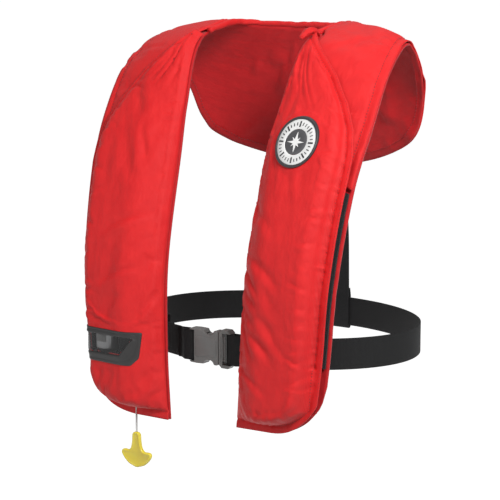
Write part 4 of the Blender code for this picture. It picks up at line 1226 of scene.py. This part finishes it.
def badge():
    """A moulded rubber badge: black rim, pale ring with bearing marks, compass star."""
    outer, bed = BADGE_RADIUS, BADGE_RADIUS - BADGE_RIM
    centre = 0.0138
    rim = badge_rings("badge_rim_moulding", (
        (outer, -0.0006), (outer, 0.0010), (outer - 0.0003, 0.0019), (outer - 0.0009, 0.0026),
        (outer - 0.0017, 0.0029), (bed + 0.0008, 0.0026), (bed + 0.0002, 0.0018), (bed, 0.0008),
        (bed, -0.0006)), BADGE_BLACK, closed=True)
    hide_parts("badge_rim")
    ring = badge_rings("badge_pale_ring", (
        (bed - 0.0001, -0.0004), (bed - 0.0001, 0.0012), (bed - 0.0006, 0.0015), (0.020, 0.0016),
        (centre + 0.0008, 0.0015), (centre + 0.0002, 0.0012), (centre + 0.0002, -0.0004)),
        BADGE_WHITE, closed=True)
    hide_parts("badge_face")
    badge_rings("badge_centre", (
        (centre, -0.0004), (centre, 0.0008), (centre - 0.0006, 0.0012), (0.009, 0.0012),
        (0.005, 0.0012), (0.0002, 0.0012)), BADGE_GREY)
    badge_prism("badge_star", [star(4, 0.0112, 0.0026), star(4, 0.0070, 0.0022, pi / 4)],
                0.0010, 0.0021, BADGE_WHITE)
    marks = []
    for k in range(32):
        start, end = (0.0162, 0.0226) if k % 4 == 0 else (0.0180, 0.0214)
        marks.append(tick(2 * pi * k / 32, start, end, 0.0017 if k % 4 == 0 else 0.0009))
    badge_prism("badge_marks", marks, 0.0012, 0.0020, BADGE_BLACK)


# ---------------------------------------------------------------- webbing
def strap(name, path, across, width, node_name, body=JACKET, closed=False):
    """Webbing along a path: rounded selvedges, and a UV map in metres for its weave."""
    points = [Vector(p) for p in path]
    across = Vector(across)
    count = len(points)
    half, thick = width / 2, WEBBING_THICK / 2
    section = ((-half, -0.35 * thick), (-half + 0.0003, -0.85 * thick), (-half + 0.0012, -thick),
               (-half / 2, -0.94 * thick), (0.0, -0.94 * thick), (half / 2, -0.94 * thick),
               (half - 0.0012, -thick), (half - 0.0003, -0.85 * thick), (half, -0.35 * thick))
    section = section + tuple((x, -y) for x, y in reversed(section))
    loops, uvs, run = [], [], 0.0
    for k, point in enumerate(points):
        after = points[(k + 1) % count] if closed else points[min(k + 1, count - 1)]
        before = points[k - 1] if closed or k else points[0]
        if k:
            run += (point - points[k - 1]).length
        normal = (after - before).cross(across).normalized()
        loops.append([point + across * x + normal * y for x, y in section])
        uvs += [(run, x) for x, _ in section]
    made = ring_object(name, loops, WEBBING, closed=closed, uvs=uvs)
    settle(made, body, stands_for=node_name)
    return made


def oval(angle, grow=0.0):
    return ((BELT_A + grow) * cos(angle), (BELT_B + grow) * sin(angle), WAIST)


def front_angle(x):
    return -float(np.arccos(x / BELT_A))


UP = (0.0, 0.0, 1.0)
LAP_START = 0.072
LAP_END = 0.102
LAP_GAP = 0.0008
BAR_CORNER = 0.0030
FEMALE_BAR_X = -0.0340
MALE_BAR_X = 0.0200


def spread(low, high, count):
    return [low + (high - low) * k / (count - 1) for k in range(count)]


def body_belt():
    start, end = front_angle(LAP_START), front_angle(-LAP_START) + 2 * pi
    strap("body_belt_webbing", [oval(a) for a in spread(start, end, 260)], UP, WEBBING_WIDTH, "body_belt")


def front_strap(name, side, bar_x, body):
    lift = WEBBING_THICK + LAP_GAP
    wrap = BAR_CORNER + 0.0003 + WEBBING_THICK / 2
    straight = bar_x + side * 0.010
    path = [oval(front_angle(side * x), lift) for x in spread(LAP_END, abs(straight) + 0.012, 30)]
    path.append((straight, BUCKLE_Y - wrap, WAIST))
    for k in range(17):
        a = pi * k / 16
        path.append((bar_x - side * wrap * sin(a), BUCKLE_Y - wrap * cos(a), WAIST))
    path.append((straight, BUCKLE_Y + wrap, WAIST))
    path.append((bar_x + side * 0.024, BUCKLE_Y + wrap - 0.0008, WAIST))
    strap(name + "_webbing", path, UP, WEBBING_WIDTH, name, body)
    lines = []
    low_x, high_x = abs(bar_x) + 0.0235, abs(bar_x) + 0.040
    reach = WEBBING_WIDTH / 2 - 0.004
    corners = ((low_x, -reach), (low_x, reach), (high_x, reach), (high_x, -reach), (low_x, -reach))
    for (x1, z1), (x2, z2) in zip(corners, corners[1:]):
        lines.append([(x1 + (x2 - x1) * f, z1 + (z2 - z1) * f) for f in spread(0.0, 1.0, 12)])
    for k, line in enumerate(lines):
        points, normals = [], []
        for x, z in line:
            spot = Vector(oval(front_angle(side * x), lift + WEBBING_THICK / 2 + 0.00005))
            blend_in = max(0.0, 1 - (x - abs(straight)) / 0.012)
            y = spot.y * (1 - blend_in) + (BUCKLE_Y - wrap - WEBBING_THICK / 2) * blend_in
            points.append((side * x, y, WAIST + z))
            normals.append((0.0, -1.0, 0.0))
        made = stitches(f"{name}_box_stitch_{k + 1}", points, normals, BLACK_THREAD, body, size=0.0006)


def keepers():
    width, round_by = 0.025, 0.003
    half = WEBBING_WIDTH / 2 + 0.004
    for name, side in (("belt_keeper_left", 1), ("belt_keeper_right", -1)):
        x = side * 0.112
        front = float(base_point(np.array(1.0), np.array(0.47))[1]) + 0.0025
        back = oval(front_angle(abs(x)))[1] + 0.012
        corners = ((front, half), (back, half), (back, -half), (front, -half))
        path = []
        for k, (y, z) in enumerate(corners):
            ends = []
            for neighbour in (corners[k - 1], corners[(k + 1) % 4]):
                step = Vector((neighbour[0] - y, neighbour[1] - z)).normalized() * round_by
                ends.append(Vector((y + step.x, z + step.y)))
            corner = Vector((y, z))
            for t in spread(0.0, 1.0, 6):
                spot = ends[0] * (1 - t) ** 2 + corner * 2 * t * (1 - t) + ends[1] * t * t
                path.append((x, spot.x, WAIST + spot.y))
        strap(name + "_webbing", path, (1.0, 0.0, 0.0), width, name, closed=True)


def back_strap():
    clear, half = WEBBING_THICK + 0.0008, WEBBING_WIDTH / 2
    stand_off = SHEET + WEBBING_THICK + 0.0014
    nape = np.full(3, float(NAPE))
    widths = np.array([0.76, 0.88, 1.0])
    patch = collar_point(nape, widths, yoke_height(nape, widths) + stand_off)
    path = smooth_path([(0, p[1], p[2]) for p in patch]
                       + [(0, 0.1270, -0.215), (0, 0.1330, -0.260), (0, BELT_B - clear, -0.325)], 60)
    path += [Vector((0, BELT_B - clear, WAIST + half * f)) for f in (1.0, 0.3, -0.4, -1.0)]
    low = WAIST - half - 0.0008
    for k in range(13):
        a = pi * k / 12
        path.append(Vector((0, BELT_B - clear * cos(a), low - clear * sin(a))))
    path += [Vector((0, BELT_B + clear, WAIST + half * f)) for f in (-0.8, 0.0, 0.8, 1.1)]
    path.append(Vector((0, BELT_B + 0.0006, WAIST + half + 0.012)))
    strap("back_strap_webbing", path, (1.0, 0.0, 0.0), WEBBING_WIDTH, "back_strap")
    for k, f in enumerate((0.2, 0.9)):
        spot = Vector(patch[0]) * (1 - f) + Vector(patch[1]) * f
        rise = (Vector(patch[1]) - Vector(patch[0])).normalized()
        normal = rise.cross(Vector((1, 0, 0)))
        normal = normal if normal.y > 0 else -normal
        line = [(x, spot.y + normal.y * 0.0009, spot.z + normal.z * 0.0009)
                for x in spread(-half + 0.004, half - 0.004, 12)]
        made = stitches(f"back_strap_stitch_{k + 1}", line, [tuple(normal)] * 12, BLACK_THREAD,
                        size=0.0006)


# ---------------------------------------------------------------- hard parts
BUCKLE_JOIN = 0.006


def raised_plate(name, outline, low, high, material, body, edge=0.0007):
    """A plate with a rounded edge on the buckle's front, from an outline of (x, z)."""
    points = rounded(outline, 72, 3)
    normal = outline_normals(points)
    profile = ((0.0, low), (0.0, high + 0.5 * edge), (0.3 * edge, high + 0.15 * edge), (edge, high))
    loops = []
    for inset, y in profile:
        ring = points - normal * inset
        loops.append([(x, y, z) for x, z in ring])
    made = ring_object(name, loops, material, closed=False)
    made.data.set_sharp_from_angle(angle=radians(50))
    settle(made, body)
    return made


def buckle():
    face = BUCKLE_Y - 0.0065
    for name in ("buckle_female", "buckle_male", "latch_upper", "latch_lower"):
        paint(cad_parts[name], BUCKLE)
        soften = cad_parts[name].modifiers.new("edge_round", 'BEVEL')
        soften.width = 0.0005
        soften.segments = 2
        soften.limit_method = 'ANGLE'
        soften.angle_limit = radians(45)
    panel = [(-0.0265, WAIST - 0.0125), (-0.0155, WAIST - 0.0125), (-0.0120, WAIST - 0.0110),
             (0.0035, WAIST - 0.0110), (0.0035, WAIST + 0.0110), (-0.0120, WAIST + 0.0110),
             (-0.0155, WAIST + 0.0125), (-0.0265, WAIST + 0.0125)]
    raised_plate("buckle_female_panel", panel, face + 0.001, face - 0.0006, BUCKLE, JACKET)
    front = BUCKLE_Y - 0.0062
    for k in range(3):
        x = BUCKLE_JOIN + 0.0030 + 0.0028 * k
        low_z, high_z = WAIST - 0.015, WAIST + 0.015
        rib = [(x, low_z), (x + 0.0013, low_z), (x + 0.0013, high_z), (x, high_z)]
        raised_plate(f"buckle_male_rib_{k + 1}", rib, front + 0.001, front - 0.0006, BUCKLE,
                     INSERT_HALF, edge=0.0003)


CYLINDER_X = -0.131
CYLINDER_Y = -0.1800
CYLINDER_RADIUS = 0.0145


def window_painted_shade_sheet():
    """A dark inner sheet behind the cylinder, seen through the lens: painted shade for the lobe's dark inside.
    """
    low_x, high_x, low_z, high_z = -0.1580, -0.0780, -0.3760, -0.3420
    across, up = np.linspace(low_x, high_x, 24), np.linspace(low_z, high_z, 12)
    x, z = np.meshgrid(across, up)
    bulge = np.cos((x - (low_x + high_x) / 2) / (high_x - low_x) * pi)
    y = -0.1848 - 0.0010 * bulge + 0.0198 * np.exp(-((x - CYLINDER_X) / 0.0165) ** 8)
    y = np.minimum(y, -0.1640)
    vertices = np.stack([x, y, z], axis=2).reshape(-1, 3)
    uvs = np.stack([x, z], axis=2).reshape(-1, 2)
    made = mesh_object("window_painted_shade_sheet", vertices, grid_faces(12, 24), BLACK_INSIDE_AND_SHADE, uvs)
    step = made.modifiers.new("cloth_thickness", 'SOLIDIFY')
    step.thickness = 0.0006
    settle(made)


def cylinder_label():
    """A plain paper label round the front of the gas cylinder."""
    loops = []
    for radius, low, high in ((0.00015, -0.3620, -0.3400), (0.00030, -0.3618, -0.3402)):
        for z in (low, high):
            loops.append([(CYLINDER_X + (CYLINDER_RADIUS + radius) * sin(a),
                           CYLINDER_Y - (CYLINDER_RADIUS + radius) * cos(a), z)
                          for a in (radians(x) for x in range(-28, 29, 4))])
    (a, b, d, c) = loops
    count = len(a)
    vertices = [p for loop in (a, b, c, d) for p in loop]
    faces = []
    for one, two in ((0, 1), (1, 2), (2, 3), (3, 0)):
        for j in range(count - 1):
            faces.append((one * count + j, one * count + j + 1, two * count + j + 1, two * count + j))
    faces.append((0, count, 2 * count, 3 * count))
    faces.append((count - 1, 2 * count - 1, 3 * count - 1, 4 * count - 1))
    made = mesh_object("cylinder_label", vertices, faces, LABEL, smooth=False)
    face_outward(made)
    settle(made)


def hard_parts():
    finishes = {
        "inflator_body": BLACK, "manifold_stud": BLACK, "inflator_lever": TAB, "lever_pin": STEEL,
        "gas_cylinder": ZINC, "stud_gasket": RUBBER, "cap_nut": STEEL, "oral_flange": ORAL_RED,
        "oral_tube": ORAL_RED, "oral_dust_cap": ORAL_RED, "oral_valve_body": BLACK,
        "oral_valve_stem": BLACK, "closure_tape_left": HOOKS, "closure_tape_right": HOOKS,
    }
    for name, material in finishes.items():
        paint(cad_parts[name], material)
    cylinder_label()
    window_painted_shade_sheet()


# ---------------------------------------------------------------- pull cord and tab
LEVER_PIVOT_Z = -0.3850
LEVER_REST = radians(48)
LEVER_REACH = 0.021


def cord_y():
    foot = base_point(np.array(0.0), np.array((abs(CORD_X) - STATIONS[0][0][0]) / 0.107))
    return float(foot[1]) - PANEL - 0.0003 - 0.0026


def pull_tab():
    """The moulded tab: a stem that spreads into two rounded wings."""
    half = TAB_WIDTH / 2
    right = [(0.0030, 0.0), (0.0058, -0.0020), (0.0062, -0.0120), (0.0078, -0.0205), (0.0115, -0.0245),
             (0.0165, -0.0235), (half - 0.0015, -0.0240), (half, -0.0285), (half - 0.0045, -0.0350),
             (0.0120, -0.0410), (0.0, -TAB_HEIGHT)]
    outline = right + [(-x, z) for x, z in reversed(right[:-1])]
    points = rounded(outline, 140, 7)
    normal = outline_normals(points)
    thick = TAB_THICK / 2
    profile = [(0.0, 0.0), (0.0001, 0.45), (0.0005, 0.80), (0.0012, 1.0), (0.0022, 1.0),
               (0.0027, 0.88), (0.0033, 0.80)]
    order = [(inset, -share) for inset, share in reversed(profile)] + profile[1:]
    top = STATIONS[0][0][2] - VISIBLE_CORD
    loops = []
    for inset, share in order:
        ring = points - normal * inset
        loops.append([(CORD_X + x, cord_y() + share * thick, top + z) for x, z in ring])
    made = ring_object("pull_tab_moulding", loops, TAB, closed=False)
    made.data.set_sharp_from_angle(angle=radians(60))
    settle(made, PULL_HANDLE, stands_for="pull_tab")
    return made


def pull_cord():
    top = LEVER_PIVOT_Z + LEVER_REACH * sin(LEVER_REST) - 0.009
    hem = STATIONS[0][0][2]
    tab_top = hem - VISIBLE_CORD
    y = cord_y()
    route = ((CORD_X, y, top), (CORD_X, y, top - 0.024), (CORD_X, y, hem + 0.006),
             (CORD_X, y, hem - 0.006), (CORD_X, y, tab_top + 0.0003))
    points = smooth_path(route, 31)
    curve = bpy.data.curves.new("pull_cord_line", 'CURVE')
    curve.dimensions = '3D'
    curve.bevel_depth = CORD_RADIUS
    curve.bevel_resolution = 4
    curve.use_fill_caps = True
    line = curve.splines.new('POLY')
    line.points.add(len(points) - 1)
    for spot, point in zip(line.points, points):
        spot.co = (*point, 1.0)
    curve.materials.append(BRAID)
    made = bpy.data.objects.new("pull_cord_line", curve)
    bpy.context.scene.collection.objects.link(made)
    tab = pull_tab()
    settle(made, PULL_HANDLE, stands_for="pull_cord")


# ---------------------------------------------------------------- camera, light and floor
TARGET = Vector((-0.0319, -0.0215, -0.265))
AZIMUTH = radians(34)
ELEVATION = radians(9.22)
DISTANCE = 2.1


def camera_axes():
    right = Vector((cos(AZIMUTH), sin(AZIMUTH), 0.0))
    back = Vector((sin(AZIMUTH) * cos(ELEVATION), -cos(AZIMUTH) * cos(ELEVATION), sin(ELEVATION)))
    return right, back.cross(right), back


def make_camera():
    right, up, back = camera_axes()
    data = bpy.data.cameras.new("camera")
    data.lens = 121.75
    data.sensor_width = 36.0
    made = bpy.data.objects.new("camera", data)
    turn = Matrix((right, up, back)).transposed().to_4x4()
    made.matrix_world = Matrix.Translation(TARGET + back * DISTANCE) @ turn
    bpy.context.scene.collection.objects.link(made)
    bpy.context.scene.camera = made


def area_light(name, place, size, power, colour=(1.0, 1.0, 1.0)):
    data = bpy.data.lights.new(name, 'AREA')
    data.shape = 'DISK'
    data.size = size
    data.energy = power
    data.color = colour
    made = bpy.data.objects.new(name, data)
    made.location = place
    made.rotation_mode = 'QUATERNION'
    made.rotation_quaternion = (TARGET - place).to_track_quat('-Z', 'Y')
    bpy.context.scene.collection.objects.link(made)


def studio():
    right, up, back = camera_axes()
    area_light("key", TARGET + back * 1.5 + right * 0.6 + up * 0.8, 0.6, 28.0)
    area_light("fill", TARGET + back * 1.2 - right * 1.7 + up * 0.3, 1.0, 7.0)
    area_light("top", TARGET + up * 1.9 - back * 0.3, 1.0, 6.0)
    world = bpy.data.worlds.new("studio")
    world.use_nodes = True
    background = world.node_tree.nodes["Background"]
    background.inputs["Color"].default_value = (1.0, 1.0, 1.0, 1.0)
    rays = world.node_tree.nodes.new("ShaderNodeLightPath")
    level = world.node_tree.nodes.new("ShaderNodeMapRange")
    level.inputs["To Min"].default_value = 0.30
    level.inputs["To Max"].default_value = 1.0
    world.node_tree.links.new(rays.outputs["Is Camera Ray"], level.inputs["Value"])
    world.node_tree.links.new(level.outputs["Result"], background.inputs["Strength"])
    bpy.context.scene.world = world
    bpy.context.scene.view_settings.view_transform = 'Standard'
    white, _, shader = new_material("studio_floor", (0.95, 0.95, 0.95), 0.9)
    shader.inputs["Emission Color"].default_value = (1.0, 1.0, 1.0, 1.0)
    shader.inputs["Emission Strength"].default_value = 0.75
    reach, drop = 400.0, -1.35
    corners = [(-reach, -reach, drop), (reach, -reach, drop),
               (reach, reach, drop), (-reach, reach, drop)]
    floor = mesh_object("floor", corners, [(0, 1, 2, 3)], white, smooth=False)
    floor.visible_diffuse = False


# ---------------------------------------------------------------- the whole jacket
def build():
    make_camera()
    pull_cord()
    for side, name in ((1, "front_cover_left"), (-1, "front_cover_right")):
        cover_stitching(name + "_stitches", front_cover(name, side), side)
    body_panels()
    yoke()
    neck_roll()
    flap_gather()
    bladder_pack()
    status_window()
    badge()
    body_belt()
    front_strap("strap_right", -1, FEMALE_BAR_X, JACKET)
    front_strap("strap_left", 1, MALE_BAR_X, INSERT_HALF)
    keepers()
    back_strap()
    buckle()
    hard_parts()
    studio()


build()
